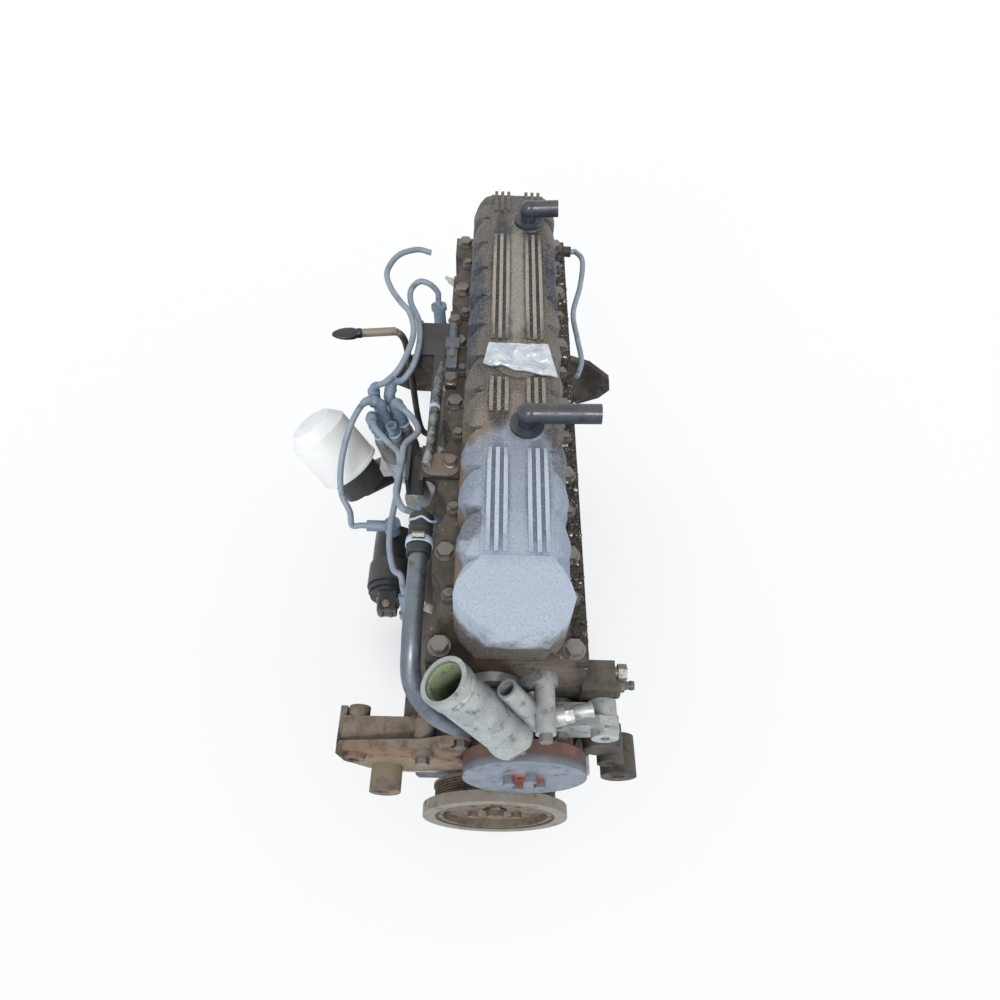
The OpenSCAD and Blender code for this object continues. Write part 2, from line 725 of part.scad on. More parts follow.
module sump_section(grow) {
    polygon([[-sump_half - grow, sump_top + 1], [-sump_half - grow, -70], [-84 - grow, -sump_depth + 14],
        [-70, -sump_depth - grow], [70, -sump_depth - grow], [84 + grow, -sump_depth + 14],
        [sump_half + grow, -70], [sump_half + grow, sump_top + 1]]);
}

module sump_form(grow) {
    intersection() {
        draw_x(-rail_half, rail_half) sump_side(grow);
        draw_y(sump_front - 20, 0) sump_section(grow);
    }
}

module oil_pan() {
    color(ink) difference() {
        union() {
            intersection() {
                sump_form(sump_wall);
                translate([-rail_half, sump_front, -sump_depth - 10]) {
                    cube([2 * rail_half, sump_rear - sump_front, sump_depth + 10 + sump_top]);
                }
            }
            translate([-rail_half, sump_front, sump_top - sump_flange_t]) {
                cube([2 * rail_half, sump_rear - sump_front, sump_flange_t]);
            }
            bar_x(-300, -sump_depth + 30, 80, 106, 30);
        }
        sump_form(0);
        bar_y(0, 0, sump_front - 30, block_front + 10, 2 * timing_foot + 1);
        translate([-cap_half - 0.5, sump_rear - 60, -52.5]) cube([2 * cap_half + 1, 100, 60]);
        bar_x(-300, -sump_depth + 30, 60, 107, 14);
    }
    color(steel) translate([106, -300, -sump_depth + 30]) rotate([0, 90, 0]) cylinder(h = 8, d = 20, $fn = 6);
}

// Cylinder head

plug_y = 3.5;
plug_rise = 41;
plug_in = [-26, head_bottom + 9];
function on_plug(x) = plug_in[1] + (plug_in[0] - x) * tan(plug_rise);
plug_seat_x = -60;

// The frame of one spark plug, its own +Z out of the head
module plug_frame(i, x) {
    translate([x, bore_y(i) + plug_y, on_plug(x)]) rotate([0, -(90 - plug_rise), 0]) children();
}

module valve_port(y, d, throat) {
    translate([valve_x, y, valve_seat_z - 5]) cylinder(h = 32, d = throat);
    bar([valve_x, y, valve_seat_z + 25], [head_right + 1, y, valve_seat_z + 38], d);
}

module head_outline() {
    difference() {
        translate([head_left, block_front]) square([head_right - head_left, block_len]);
        for (i = [0:cylinders - 1]) translate([head_left - 22, bore_y(i) + plug_y]) circle(r = 34);
    }
}

module cylinder_head() {
    color(iron) difference() {
        translate([0, 0, head_bottom]) linear_extrude(head_h) head_outline();
        translate([cover_left + 6, block_front + 32, floor_z]) cube([cover_right - cover_left - 12, block_len - 54, 20]);
        for (i = [0:cylinders - 1]) {
            translate([0, bore_y(i), head_bottom - 1]) difference() {
                cylinder(h = chamber_h + 1, d = bore_d - 0.8);
                translate([-60, -60, -1]) cube([26, 120, 40]);
            }
            valve_port(bore_y(i) - inlet_y, 34, inlet_d - 8);
            valve_port(bore_y(i) + exhaust_y, 30, exhaust_d - 7);
            for (y = [-inlet_y, exhaust_y]) translate([valve_x, bore_y(i) + y, valve_seat_z]) {
                cylinder(h = head_h, d = stem_d + 2 * run_gap);
            }
            for (y = [-inlet_y, exhaust_y]) push_frame(bore_y(i) + y) cylinder(h = 300, d = pushrod_d + 4.6);
            plug_frame(i, plug_in[0]) cylinder(h = 46, d = 14.2);
            plug_frame(i, plug_seat_x) cylinder(h = 60, d = 30);
        }
        for (i = [0:cylinders], x = [bolt_left, bolt_right]) {
            translate([x, main_y(i), head_bottom - 1]) cylinder(h = head_h + 2, d = 12.4);
        }
        for (p = cover_screws) translate([p[0], p[1], head_top - 20]) cylinder(h = 21, d = 6.6);
        bar_y(24, head_top - 14, block_front - 1, block_front + 24, 12);
        for (p = thermostat_bolts) bar_y(p[0], p[1], block_front - 1, block_front + 22, 8);
        bar_y(thermo_x, thermo_z, block_front - 1, block_front + 40, 32);
        bar_x(-690, side_bolt_z, head_right - 8.4, head_right + 1, 12.4);
        for (y = [-640, -528, -417, -306, -195, -84]) bar_x(y + 55, valve_seat_z + 55, head_right - 20, head_right + 1, 9);
    }
}

// Gaskets: head, valve cover and sump

module gaskets() {
    color(ink) {
        translate([0, 0, deck_z]) linear_extrude(gasket_t) difference() {
            translate([-deck_half, block_front]) square([2 * deck_half, block_len]);
            for (i = [0:cylinders - 1]) {
                translate([0, bore_y(i)]) circle(d = bore_d + 1.6);
                for (y = [-inlet_y, exhaust_y]) translate([cam_x + (deck_z - cam_z) * tan(push_lean), bore_y(i) + y]) circle(r = 8);
                translate([head_left - 22, bore_y(i) + plug_y]) circle(r = 34);
            }
            for (i = [0:cylinders], x = [bolt_left, bolt_right]) translate([x, main_y(i)]) circle(d = 13);
        }
        translate([0, 0, head_top]) linear_extrude(cover_base - head_top) cover_rim();
        translate([0, 0, sump_top]) linear_extrude(-sump_top) difference() {
            translate([-rail_half, sump_front]) square([2 * rail_half, sump_rear - sump_front]);
            translate([-sump_half, sump_front + 10]) square([2 * sump_half, sump_rear - sump_front - 24]);
            translate([-cap_half - 0.5, sump_rear - 30]) square([2 * cap_half + 1, 40]);
            translate([-timing_foot - 0.5, sump_front - 1]) square([2 * timing_foot + 1, 40]);
        }
    }
}

// Valve cover

screw_left = cover_left - 6.5;
screw_right = cover_right + 6.5;
cover_front = block_front + 4;
cover_rear = block_rear - 5;
cover_screws = concat([for (i = [0:cylinders - 1]) [screw_left, bore_y(i)]],
    [for (i = [0:cylinders - 1]) [screw_right, bore_y(i)]]);
valley_r = 30;
valley_reach = 16;
pad_front = block_front - 6.5;
pad_rear = bore_1 + 2;
rib_xs = [-22.5, -13.75, -5, 20, 28.75, 37.5];
rib_runs = [[pad_rear + 4, -505], [-452, -400], [-335, -128], [-72, cover_rear - 9]];
breather_spots = [[17.5, -475], [22, -101]];

// The valleys between the lobes, where the head bolts stand
module cover_valleys(grow) {
    for (i = [0:cylinders]) {
        translate([cover_left - valley_r + valley_reach - 6, main_y(i)]) circle(r = valley_r + grow);
        translate([cover_right + valley_r - valley_reach + 6, main_y(i)]) circle(r = valley_r + grow);
    }
}

cover_corner = 24;

module cover_plan(shrink) {
    cut = cover_corner + shrink * (sqrt(2) - 1);
    difference() {
        polygon([[cover_left + shrink, cover_rear - shrink], [cover_left + shrink, cover_front + cut],
            [cover_left + cut, cover_front + shrink], [cover_right - cut, cover_front + shrink],
            [cover_right - shrink, cover_front + cut], [cover_right - shrink, cover_rear - shrink]]);
        cover_valleys(shrink);
    }
}

// The lobes of the cover, two to a cylinder on each side
lobe_r = 26;
lobe_low = 20;

module lobe_plan(shrink) {
    difference() {
        union() {
            translate([cover_left + lobe_r, bore_1 - 40]) {
                square([cover_right - cover_left - 2 * lobe_r, (cylinders - 1) * bore_pitch + 80]);
            }
            for (i = [0:cylinders - 1], k = [-0.25, 0.25], x = [cover_left + lobe_r + 0.6, cover_right - lobe_r - 0.6]) {
                translate([x, bore_y(i) + k * bore_pitch]) circle(r = lobe_r - shrink);
            }
        }
        cover_valleys(shrink);
    }
}

module lobe_section(shrink) {
    top = cover_top - rib_h - shrink;
    polygon([[cover_left + shrink, cover_base + lobe_low], [cover_left + shrink, cover_base + 60],
        [cover_left + 6 + shrink, cover_base + 73], [cover_left + 17 + shrink * 0.6, top - 3.5],
        [cover_left + 34, top - 0.4], [cover_right - 26, top - 0.4], [cover_right - 14 - shrink * 0.6, top - 3.5],
        [cover_right - 6 - shrink, cover_base + 73], [cover_right - shrink, cover_base + 60],
        [cover_right - shrink, cover_base + lobe_low]]);
}

module cover_rim() {
    difference() {
        union() {
            cover_plan(0);
            for (p = cover_screws) translate(p) circle(r = 8);
        }
        cover_plan(cover_wall + 1);
        for (p = cover_screws) translate(p) circle(r = 3.6);
    }
}

module cover_section(shrink) {
    top = cover_top - rib_h - shrink;
    polygon([[cover_left + shrink, cover_base - 1], [cover_left + shrink, cover_base + 40],
        [cover_left + 10 + shrink, cover_base + 62], [cover_left + 26 + shrink * 0.6, top],
        [cover_right - 20 - shrink * 0.6, top], [cover_right - 10 - shrink, cover_base + 62],
        [cover_right - shrink, cover_base + 40], [cover_right - shrink, cover_base - 1]]);
}

module cover_end_slope(shrink) {
    top = cover_top - rib_h - shrink;
    polygon([[cover_front + shrink, cover_base - 1], [cover_front + shrink, top + 1],
        [cover_rear - 14 - shrink, top + 1], [cover_rear - shrink, cover_base + 40], [cover_rear - shrink, cover_base - 1]]);
}

module cover_form(shrink) {
    intersection() {
        union() {
            intersection() {
                translate([0, 0, cover_base - 1]) linear_extrude(cover_h + 2) cover_plan(shrink);
                draw_y(pad_front - 10, 0) cover_section(shrink);
            }
            intersection() {
                translate([0, 0, cover_base]) linear_extrude(cover_h) lobe_plan(shrink);
                draw_y(pad_front - 10, 0) lobe_section(shrink);
            }
        }
        draw_x(cover_left - 10, cover_right + 10) cover_end_slope(shrink);
    }
}

module pad_plan(shrink) {
    l = cover_left + shrink;
    r = cover_right - shrink;
    polygon([[l + 28, pad_rear - shrink], [l + 5, pad_rear - 28], [l + 1.5, pad_rear - 44], [l + 8, pad_rear - 57],
        [l + 34, pad_front + shrink], [r - 26, pad_front + shrink], [r - 7, pad_rear - 59], [r - 1.5, pad_rear - 44],
        [r - 6, pad_rear - 28], [r - 22, pad_rear - shrink]]);
}

module cover_pad(shrink) {
    intersection() {
        translate([0, 0, cover_base]) linear_extrude(cover_h) pad_plan(shrink);
        draw_x(cover_left - 10, cover_right + 10) {
            polygon([[pad_front + 14 + shrink, cover_base + 10], [pad_front + shrink, cover_base + 52],
                [pad_front + shrink, cover_top - 1 - shrink], [pad_rear - shrink, cover_top - 1 - shrink],
                [pad_rear - shrink, cover_base + 10]]);
        }
    }
}

module valve_cover() {
    color(alloy) difference() {
        union() {
            difference() {
                union() {
                    cover_form(0);
                    cover_pad(0);
                }
                cover_form(cover_wall);
                translate([0, 0, -eps]) intersection() {
                    cover_pad(cover_wall);
                    translate([-200, cover_front + cover_wall, 0]) cube([400, 200, 600]);
                }
                translate([-100, block_front - 20, cover_base - 10]) cube([200, block_len + 40, 10]);
            }
            translate([0, 0, cover_base]) linear_extrude(cover_flange_t) cover_rim();
            for (run = rib_runs, x = rib_xs) translate([x - 2.2, run[0], cover_top - rib_h - 1]) {
                cube([4.4, run[1] - run[0], rib_h + 1]);
            }
            for (p = breather_spots) translate([p[0], p[1], cover_top - rib_h - 1]) cylinder(h = 4, r = 21);
            translate([10, -367, cover_top - rib_h - 1]) cylinder(h = 3, r = 33);
        }
        for (p = breather_spots) translate([p[0], p[1], cover_top - 20]) cylinder(h = 40, r = 14.5);
    }
}

// Valve train

valve_ys = [-inlet_y, exhaust_y];

module valve(y, head_d) {
    translate([valve_x, y, 0]) {
        translate([0, 0, valve_seat_z - 4]) cylinder(h = 3, d = head_d);
        translate([0, 0, valve_seat_z - 1.02]) cylinder(h = head_d / 2 - stem_d, d1 = head_d - 12, d2 = stem_d - 1);
        translate([0, 0, valve_seat_z - 2]) cylinder(h = tip_z - lash - valve_seat_z + 2, d = stem_d);
        translate([0, 0, spring_top]) cylinder(h = 4, d = 31);
    }
}

spring_base = floor_z;
spring_top = tip_z - 9;
spring_d = 29;
spring_wire = 4;
spring_turns = 4;

module valve_springs() {
    low = spring_base + spring_wire / 2 + 0.1;
    high = spring_top - spring_wire / 2 - 0.1;
    steps = 10;
    count = spring_turns * steps;
    coil = [for (k = [0:count]) [(spring_d - spring_wire) / 2 * cos(360 * k / steps),
        (spring_d - spring_wire) / 2 * sin(360 * k / steps), low + (high - low) * k / count]];
    color(steel) for (i = [0:cylinders - 1], y = valve_ys) translate([valve_x, bore_y(i) + y, 0]) sweep(coil, spring_wire, 5);
}

pivot_d = 12;

module rocker_outline() {
    pad_r = 7;
    difference() {
        union() {
            circle(r = 10);
            translate([valve_x - pivot_x, tip_z - pivot_z + pad_r]) circle(r = pad_r);
            translate([seat_x - pivot_x, seat_z - pivot_z + 5.4]) circle(r = 5.4);
            polygon([[-9, -3], [seat_x - pivot_x + 1, seat_z - pivot_z + 1.5], [seat_x - pivot_x + 1, seat_z - pivot_z + 10],
                [-4, 9], [4, 9], [valve_x - pivot_x - 1, tip_z - pivot_z + 2 * pad_r - 1],
                [valve_x - pivot_x + 1, tip_z - pivot_z + 1], [9, -4]]);
        }
        circle(d = pivot_d + 2 * run_gap);
    }
}

module rockers(offset_y) {
    color(steel) for (i = [0:cylinders - 1]) translate([pivot_x, bore_y(i) + offset_y, pivot_z]) {
        draw_y(-7, 7) rocker_outline();
    }
}

module pushrods(offset_y) {
    top = (seat_z - lash - cam_z) / cos(push_lean);
    color(steel) for (i = [0:cylinders - 1]) push_frame(bore_y(i) + offset_y) {
        translate([0, 0, lifter_foot]) cylinder(h = lifter_h, d = lifter_d);
        translate([0, 0, lifter_foot + lifter_h - 1]) cylinder(h = top - lifter_foot - lifter_h - 3, d = pushrod_d);
        translate([0, 0, top - 4.1]) cylinder(h = 4.1, d1 = pushrod_d - 0.2, d2 = 3);
    }
}

module rocker_bridges() {
    front = -inlet_y + 7.2;
    rear = exhaust_y - 7.2;
    color(iron) for (i = [0:cylinders - 1]) translate([pivot_x, bore_y(i), 0]) {
        difference() {
            union() {
                bar_y(0, pivot_z, -inlet_y - 8, exhaust_y + 8, pivot_d);
                translate([-8, front, floor_z]) cube([16, rear - front, pivot_z - floor_z]);
                bar_y(0, pivot_z, front, rear, 20);
            }
            translate([0, (front + rear) / 2, floor_z - 1]) cylinder(h = 90, d = 8.4);
        }
        translate([0, (front + rear) / 2, pivot_z + 10]) hex_bolt(8, pivot_z + 10 - floor_z - 0.2, 13, 6);
    }
}

// Fasteners

module head_bolts() {
    for (i = [0:cylinders], x = [bolt_left, bolt_right]) translate([x, main_y(i), head_top]) {
        cylinder(h = 2, d = 24);
        translate([0, 0, 1.9]) cylinder(h = 8, d = 19, $fn = 6);
        translate([0, 0, -head_h - 40]) cylinder(h = head_h + 40.5, d = 12);
    }
}

module bolts() {
    color(steel) {
        head_bolts();
        for (p = cover_screws) translate([p[0], p[1], cover_base + cover_flange_t]) hex_bolt(6, 24, 11, 5);
        for (p = timing_bolts) bolt_y(p[0], block_front - 6, p[1], 6, 5.8, 11, 5);
        bolt_y(-89, bracket_front, 168, 9, 60, 17, 8);
        bolt_y(-45, bracket_front + 13, 192, 9, 52, 17, 8);
        bolt_y(66, -748, 228, 7.6, 52, 13, 7);
        for (p = thermostat_bolts) bolt_y(p[0], thermo_face, p[1], 7.6, 78, 14, 8);
        for (p = pump_bolts) bolt_y(p[0], block_front - 14, p[1], 7.6, 13.8, 13, 7);
        translate([head_right + 42, -690, side_bolt_z]) rotate([0, 90, 0]) hex_bolt(12, 50, 19, 10);
    }
}

module spark_plugs() {
    color([0.85, 0.84, 0.8]) for (i = [0:cylinders - 1]) {
        plug_frame(i, plug_in[0]) translate([0, 0, 2]) cylinder(h = 43.2, d = 14);
        plug_frame(i, plug_seat_x) {
            translate([0, 0, 0.05]) cylinder(h = 5, d = 21);
            translate([0, 0, 5]) cylinder(h = 12, d = 18.5, $fn = 6);
            translate([0, 0, 16.9]) cylinder(h = 24, d = 10);
            translate([0, 0, 40.8]) cylinder(h = 8, d = 6);
        }
    }
}

// Thermostat housing

thermo_x = -12;
thermo_z = head_bottom + 40;
thermo_face = -773;
thermostat_bolts = [[18, head_bottom + 21], [42, head_bottom + 61]];
neck_foot = [6, -762, head_bottom + 24];
neck_mouth = [-60, -746, head_bottom + 130];
inner_foot = [-4, -757, head_bottom + 27];
barb_foot = [64, -746, head_bottom + 43];
barb_way = unit([24, 4, 4]);
small_foot = [38, -752, head_bottom + 38];
small_mouth = [1, -738, head_bottom + 92];

module thermostat_housing() {
    color(alloy) difference() {
        union() {
            draw_y(block_front - 10, block_front) {
                translate([thermo_x, thermo_z]) circle(r = 30);
                for (p = thermostat_bolts) translate(p) circle(r = 14);
                polygon([[-10, 256], [30, 252], [56, 300], [38, 322]]);
            }
            bar([thermo_x + 8, block_front - 13, thermo_z - 6], neck_foot, 48);
            translate(neck_foot) sphere(r = 26);
            bar(neck_foot, neck_mouth, 48);
            aim(neck_mouth, neck_foot) cylinder(h = 9, d = 51);
            for (p = thermostat_bolts) bar_y(p[0], p[1], thermo_face, block_front - 5, 21);
            translate(small_foot) sphere(r = 12.5);
            bar(small_foot, small_mouth, 22);
            bar([30, block_front - 12, thermo_z + 2], small_foot, 22);
            bar(small_foot, barb_foot - barb_way * 12, 20);
            bar(barb_foot - barb_way * 16, barb_foot, 22);
        }
        bar(mix(neck_mouth, neck_foot, 0.3), neck_mouth + unit(neck_mouth - neck_foot), 41);
        bar(inner_foot, neck_mouth, 33);
        bar([thermo_x, block_front + 1, thermo_z], inner_foot, 32);
        translate(inner_foot) sphere(r = 16.6);
        bar(small_foot, small_mouth + unit(small_mouth - small_foot), 16);
        bar(barb_foot - barb_way * 12, barb_foot + barb_way, 12);
        for (p = thermostat_bolts) {
            bar_y(p[0], p[1], thermo_face - 1, block_front + 1, 8.2);
            bar_y(p[0], p[1], thermo_face - 30, thermo_face, 22);
        }
    }
}

module hose_barb() {
    color(steel) difference() {
        union() {
            aim(barb_foot, barb_foot + barb_way) cylinder(h = 9, d = 20, $fn = 6);
            bar(barb_foot + barb_way * 8.9, barb_foot + barb_way * 30, 15);
            bar(barb_foot + barb_way * 26, barb_foot + barb_way * 30, 17);
            bar(barb_foot - barb_way * 9, barb_foot + barb_way, 11.8);
        }
        bar(barb_foot - barb_way * 10, barb_foot + barb_way * 31, 9);
    }
}

// Water pump

pump_bolts = [for (a = [35, 145, 215, 325]) polar([pump_x, pump_z], 43, a)];
pump_snout = pump_face + pump_pulley_w + 4;

module water_pump_housing() {
    color(iron) difference() {
        union() {
            bar_y(pump_x, pump_z, block_front - 14, block_front, 104);
            bar_y(pump_x, pump_z, block_front - 24, block_front - 10, 74);
            bar_y(pump_x, pump_z, pump_snout, block_front - 20, 44);
            bar(stub_foot, stub_tip, 28);
        }
        bar_y(pump_x, pump_z, block_front - 18, block_front + 1, 72);
        bar_y(pump_x, pump_z, pump_snout - 1, block_front, 28);
        bar(stub_foot, stub_tip, 18);
        bar(stub_tip - stub_way * 7, stub_tip + stub_way, 21.8);
        for (p = pump_bolts) bar_y(p[0], p[1], block_front - 15, block_front + 1, 8);
    }
    color(steel) {
        ring_y(pump_x, pump_z, pump_snout + 2, pump_snout + 14, 27.9, 16.1);
        ring_y(pump_x, pump_z, block_front - 30, block_front - 19, 27.9, 16.1);
    }
}

module pump_rotor() {
    color(steel) {
        bar_y(pump_x, pump_z, pump_face + 2, block_front - 4, 16);
        bar_y(pump_x, pump_z, pump_face + 2.1, pump_snout - 1, 52);
        bar_y(pump_x, pump_z, block_front - 17, block_front - 13, 66);
        for (a = [0:60:300]) translate([pump_x, 0, pump_z]) rotate([0, a, 0]) translate([10, block_front - 13.1, -1.5]) {
            cube([22, 10, 3]);
        }
    }
}

module pump_pulley() {
    color([0.42, 0.47, 0.53]) {
        difference() {
            union() {
                bar_y(pump_x, pump_z, pump_face, pump_face + 2, 2 * pump_pulley_r);
                ring_y(pump_x, pump_z, pump_face + 1, pump_face + pump_pulley_w, 2 * pump_pulley_r, 2 * pump_pulley_r - 7);
            }
            for (a = pulley_bolt_angles) translate([pump_x, 0, pump_z]) rotate([0, a, 0]) {
                bar_y(0, 19, pump_face - 1, pump_face + 5, 8.2);
            }
            bar_y(pump_x, pump_z, pump_face - 1, pump_face + 5, 18);
        }
        for (a = pulley_bolt_angles) translate([pump_x, 0, pump_z]) rotate([0, a, 0]) {
            bolt_y(0, pump_face, 19, 8, 1.9, 14, 9);
        }
    }
}
pulley_bolt_angles = [20, 110, 200, 290];

// Vibration damper

module damper_hub() {
    color(rust) {
        difference() {
            union() {
                bar_y(0, 0, damper_y + 10, damper_y + 18, 2 * damper_r - 46);
                ring_y(0, 0, damper_y + 1.5, damper_y + 16, 2 * damper_r - 40, 2 * damper_r - 52);
                bar_y(0, 0, damper_y + 14, timing_front + 7, 50);
                bar_y(0, 0, damper_y + 16, damper_y + 40, 2 * crank_pulley_r - 9);
                ring_y(0, 0, damper_y + 16, damper_y + 20, 2 * crank_pulley_r, 2 * crank_pulley_r - 12);
                ring_y(0, 0, damper_y + 36, damper_y + 40, 2 * crank_pulley_r, 2 * crank_pulley_r - 12);
                for (y = [23.5, 27, 30.5, 34]) {
                    ring_y(0, 0, damper_y + y - 0.8, damper_y + y + 0.8, 2 * crank_pulley_r - 4, 2 * crank_pulley_r - 12);
                }
            }
            bar_y(0, 0, damper_y + 9, timing_front + 8, snout_d + 0.04);
            for (a = [0:120:240]) rotate([0, a + 60, 0]) bar_y(0, 34, damper_y, damper_y + 45, 9);
            for (a = [0:120:240]) rotate([0, a, 0]) bar_y(0, 34, damper_y, damper_y + 16, 5);
        }
        bolt_y(0, damper_y + 10, 0, 13.8, 48, 24, 9);
        for (a = [0:120:240]) rotate([0, a, 0]) bolt_y(0, damper_y + 10, 34, 5, 4, 14, 6);
    }
}

module damper_ring() {
    color([0.55, 0.5, 0.43]) ring_y(0, 0, damper_y, damper_y + 14, 2 * damper_r, 2 * damper_r - 33);
}

module damper_rubber() {
    color(ink) ring_y(0, 0, damper_y + 1, damper_y + 13.5, 2 * damper_r - 33.1, 2 * damper_r - 39.9);
}

// Brackets at the front

bracket_front = -762;
side_bolt_z = 262;
bracket_shield = [[-192, 158], [-186, 172], [-92, 184], [-62, 200], [-45, 200], [-32, 186], [-52, 150],
    [-24, 112], [-40, 96], [-112, 84], [-160, 96], [-186, 126]];

module accessory_bracket() {
    color(rust) difference() {
        union() {
            draw_y(bracket_front + 6, bracket_front + 17) polygon(bracket_shield);
            bar_y(-170, 154, bracket_front, -700, 26);
            bar_y(-89, 168, bracket_front, block_front - 7, 26);
            bar_y(-89, 168, bracket_front, block_front, 21);
            bar_y(-45, 192, bracket_front + 13, block_front, 24);
            bar_y(-136, 104, bracket_front - 24, bracket_front + 7, 38);
            translate([-186, bracket_front + 16, 158.5]) cube([100, 32, 8]);
            translate([-192, bracket_front + 16, 118]) cube([8, 46, 42]);
        }
        bar_y(-170, 154, bracket_front - 1, -699, 11);
        bar_y(-89, 168, bracket_front - 1, -700, 9.6);
        bar_y(-45, 192, bracket_front - 1, -700, 9.6);
        bar_y(-45, 192, bracket_front - 1, bracket_front + 13, 22);
        bar_y(-136, 104, bracket_front - 25, bracket_front - 5, 12);
    }
}

module alternator_bracket() {
    color(alloy) difference() {
        union() {
            draw_y(-748, -738) polygon([[48, 222], [60, 246], [104, 262], [124, 256], [130, 232], [112, 216], [84, 212], [60, 212]]);
            bar_y(112, 240, -757, -716, 30);
            bar_y(66, 228, -748, block_front, 24);
            translate([60, -740, 240]) cube([50, 20, 8]);
        }
        bar_y(112, 240, -758, -700, 11);
        bar_y(66, 228, -758, -700, 8);
    }
}

module steering_pump_bracket() {
    color(iron) difference() {
        union() {
            translate([92, -736, 128]) cube([40, 22, 78]);
            bar_y(133, 146, -758, -712, 32);
            bar_y(118, 180, -752, -714, 44);
            bar_y(148, 112, -764, -716, 44);
            translate([head_right, -715.5, 196]) cube([38, 35, 77]);
        }
        bar_y(133, 146, -759, -700, 11);
        bar_y(148, 112, -765, -740, 14);
        bar_x(-690, side_bolt_z, 80, 133, 12.4);
    }
}

// Heater pipe and hose

function pipe_route() = [[-97, -560, 340], [-97, -600, 340], [-97, -652, 339], [-97, -692, 332], [-95, -724, 308],
    [-78, -740, 268], [-52, -744, 232], stub_tip + stub_way * 12, stub_tip - stub_way * 6];
hose_route = [[-97, -543, 340], [-97, -594, 340]];
stub_foot = [pump_x - 30, -728, pump_z + 20];
stub_way = unit([-24, -8, 19]);
stub_tip = stub_foot + stub_way * 30;

module heater_pipe() {
    color(steel) sweep(smooth(pipe_route(), 5), 21, 12);
}

module heater_hose() {
    color(ink) difference() {
        bar(hose_route[0], hose_route[1], 29);
        bar(hose_route[0] + [0, 1, 0], hose_route[1] - [0, 1, 0], 21.2);
    }
}

// Distributor

cap_base = 150;
tower_r = 20;
tower_top = cap_base + 46;
boot_top = tower_top + 26;

module distributor_housing() {
    color([0.5, 0.48, 0.46]) dist_frame() difference() {
        union() {
            translate([0, 0, 14]) cylinder(h = 17, r = dist_gear_r + 0.5);
            translate([0, 0, 30]) cylinder(h = 8, r = 26);
            translate([0, 0, 36]) cylinder(h = 60, r = 15);
            translate([0, 0, 90]) cylinder(h = 16, r1 = 15, r2 = bowl_r);
            translate([0, 0, 105]) cylinder(h = cap_base - 105, r = bowl_r);
            translate([-bowl_r - 8, -16, 112]) cube([20, 32, 20]);
        }
        translate([0, 0, 108]) cylinder(h = 60, r = bowl_r - 3);
        translate([0, 0, 0]) cylinder(h = 120, d = 12 + 2 * run_gap);
    }
}

module distributor_cap() {
    color(ink) dist_frame() difference() {
        union() {
            translate([0, 0, cap_base + 0.1]) cylinder(h = 30, r = bowl_r + 1);
            translate([0, 0, cap_base + 30]) cylinder(h = 26, r = 7);
            for (a = [0:60:300]) rotate(a) translate([tower_r, 0, cap_base + 28]) cylinder(h = 18, r = 6.5);
        }
        translate([0, 0, cap_base]) cylinder(h = 24, r = bowl_r - 3);
    }
}

module distributor_shaft() {
    color(steel) dist_frame() {
        difference() {
            translate([0, 0, -11]) cylinder(h = 22, r = dist_gear_r);
            for (a = [0:30:330]) rotate(a) translate([dist_gear_r + 1, 0, -12]) cylinder(h = 24, d = 6);
        }
        translate([0, 0, pump_low + 3]) cylinder(h = cap_base - 30 - pump_low, d = 12);
        translate([0, 0, cap_base - 34]) cylinder(h = 4, r = 20);
        translate([0, 0, cap_base - 30]) cylinder(h = 44, d = 16);
        translate([-7, -7, cap_base + 6]) cube([27, 14, 6]);
        rotate(90) pump_gear();
    }
}

// Oil pump, on the lower end of the distributor shaft

pump_low = -150;
pump_gear_r = 13;
pump_gear_h = 22;
pump_teeth = 9;
idler_y = 2 * pump_gear_r;

pump_tooth = [[-2.4, -2.35], [0, -1.75], [1.2, -1.25], [1.9, -0.5], [1.9, 0.5], [1.2, 1.25], [0, 1.75], [-2.4, 2.35]];

module pump_gear() {
    translate([0, 0, pump_low + 4]) linear_extrude(pump_gear_h) polygon([for (k = [0:pump_teeth - 1]) for (t = pump_tooth)
        let (a = 360 * k / pump_teeth) [
            (pump_gear_r + t[0]) * cos(a) - t[1] * sin(a), (pump_gear_r + t[0]) * sin(a) + t[1] * cos(a)]]);
}

module oil_pump_idler() {
    color(steel) dist_frame() translate([0, idler_y, 0]) {
        rotate(270 - 180 / pump_teeth) pump_gear();
        translate([0, 0, pump_low + 1]) cylinder(h = pump_gear_h + 4, d = 9);
    }
}

module oil_pump_body() {
    color(iron) dist_frame() difference() {
        union() {
            translate([-19, -19, pump_low - 2]) cube([38, 64, pump_gear_h + 8]);
            translate([0, 0, pump_low + 20]) cylinder(h = 51, d = 20);
        }
        for (y = [0, idler_y]) translate([0, y, pump_low + 3.95]) {
            cylinder(h = pump_gear_h + 0.1, r = pump_gear_r + 2 + run_gap);
        }
        translate([0, 0, pump_low + 2]) cylinder(h = 120, d = 12 + 2 * run_gap);
        translate([0, idler_y, pump_low + 0.95]) cylinder(h = pump_gear_h + 4.1, d = 9 + 2 * run_gap);
    }
    color(steel) {
        bar([-82, dist_y + 25, -79], [-45, dist_y + 45, -sump_depth + 34], 16);
        translate([-43, dist_y + 46, -sump_depth + 22]) cylinder(h = 16, d = 64);
    }
}

// Oil filter

filter_foot = [-226, -345, 165];
filter_way = unit([-0.57, 0.30, 0.765]);

module oil_filter() {
    color([0.95, 0.95, 0.94]) aim(filter_foot, filter_foot + filter_way) {
        cylinder(h = 4, d = filter_d - 8);
        translate([0, 0, 3]) cylinder(h = 5, d = filter_d + 2);
        translate([0, 0, 7.9]) cylinder(h = filter_h - 30, d = filter_d);
        translate([0, 0, filter_h - 22.2]) cylinder(h = 16, d1 = filter_d, d2 = filter_d - 26);
        translate([0, 0, filter_h - 6.3]) cylinder(h = 4, d1 = filter_d - 26, d2 = filter_d - 50);
    }
}

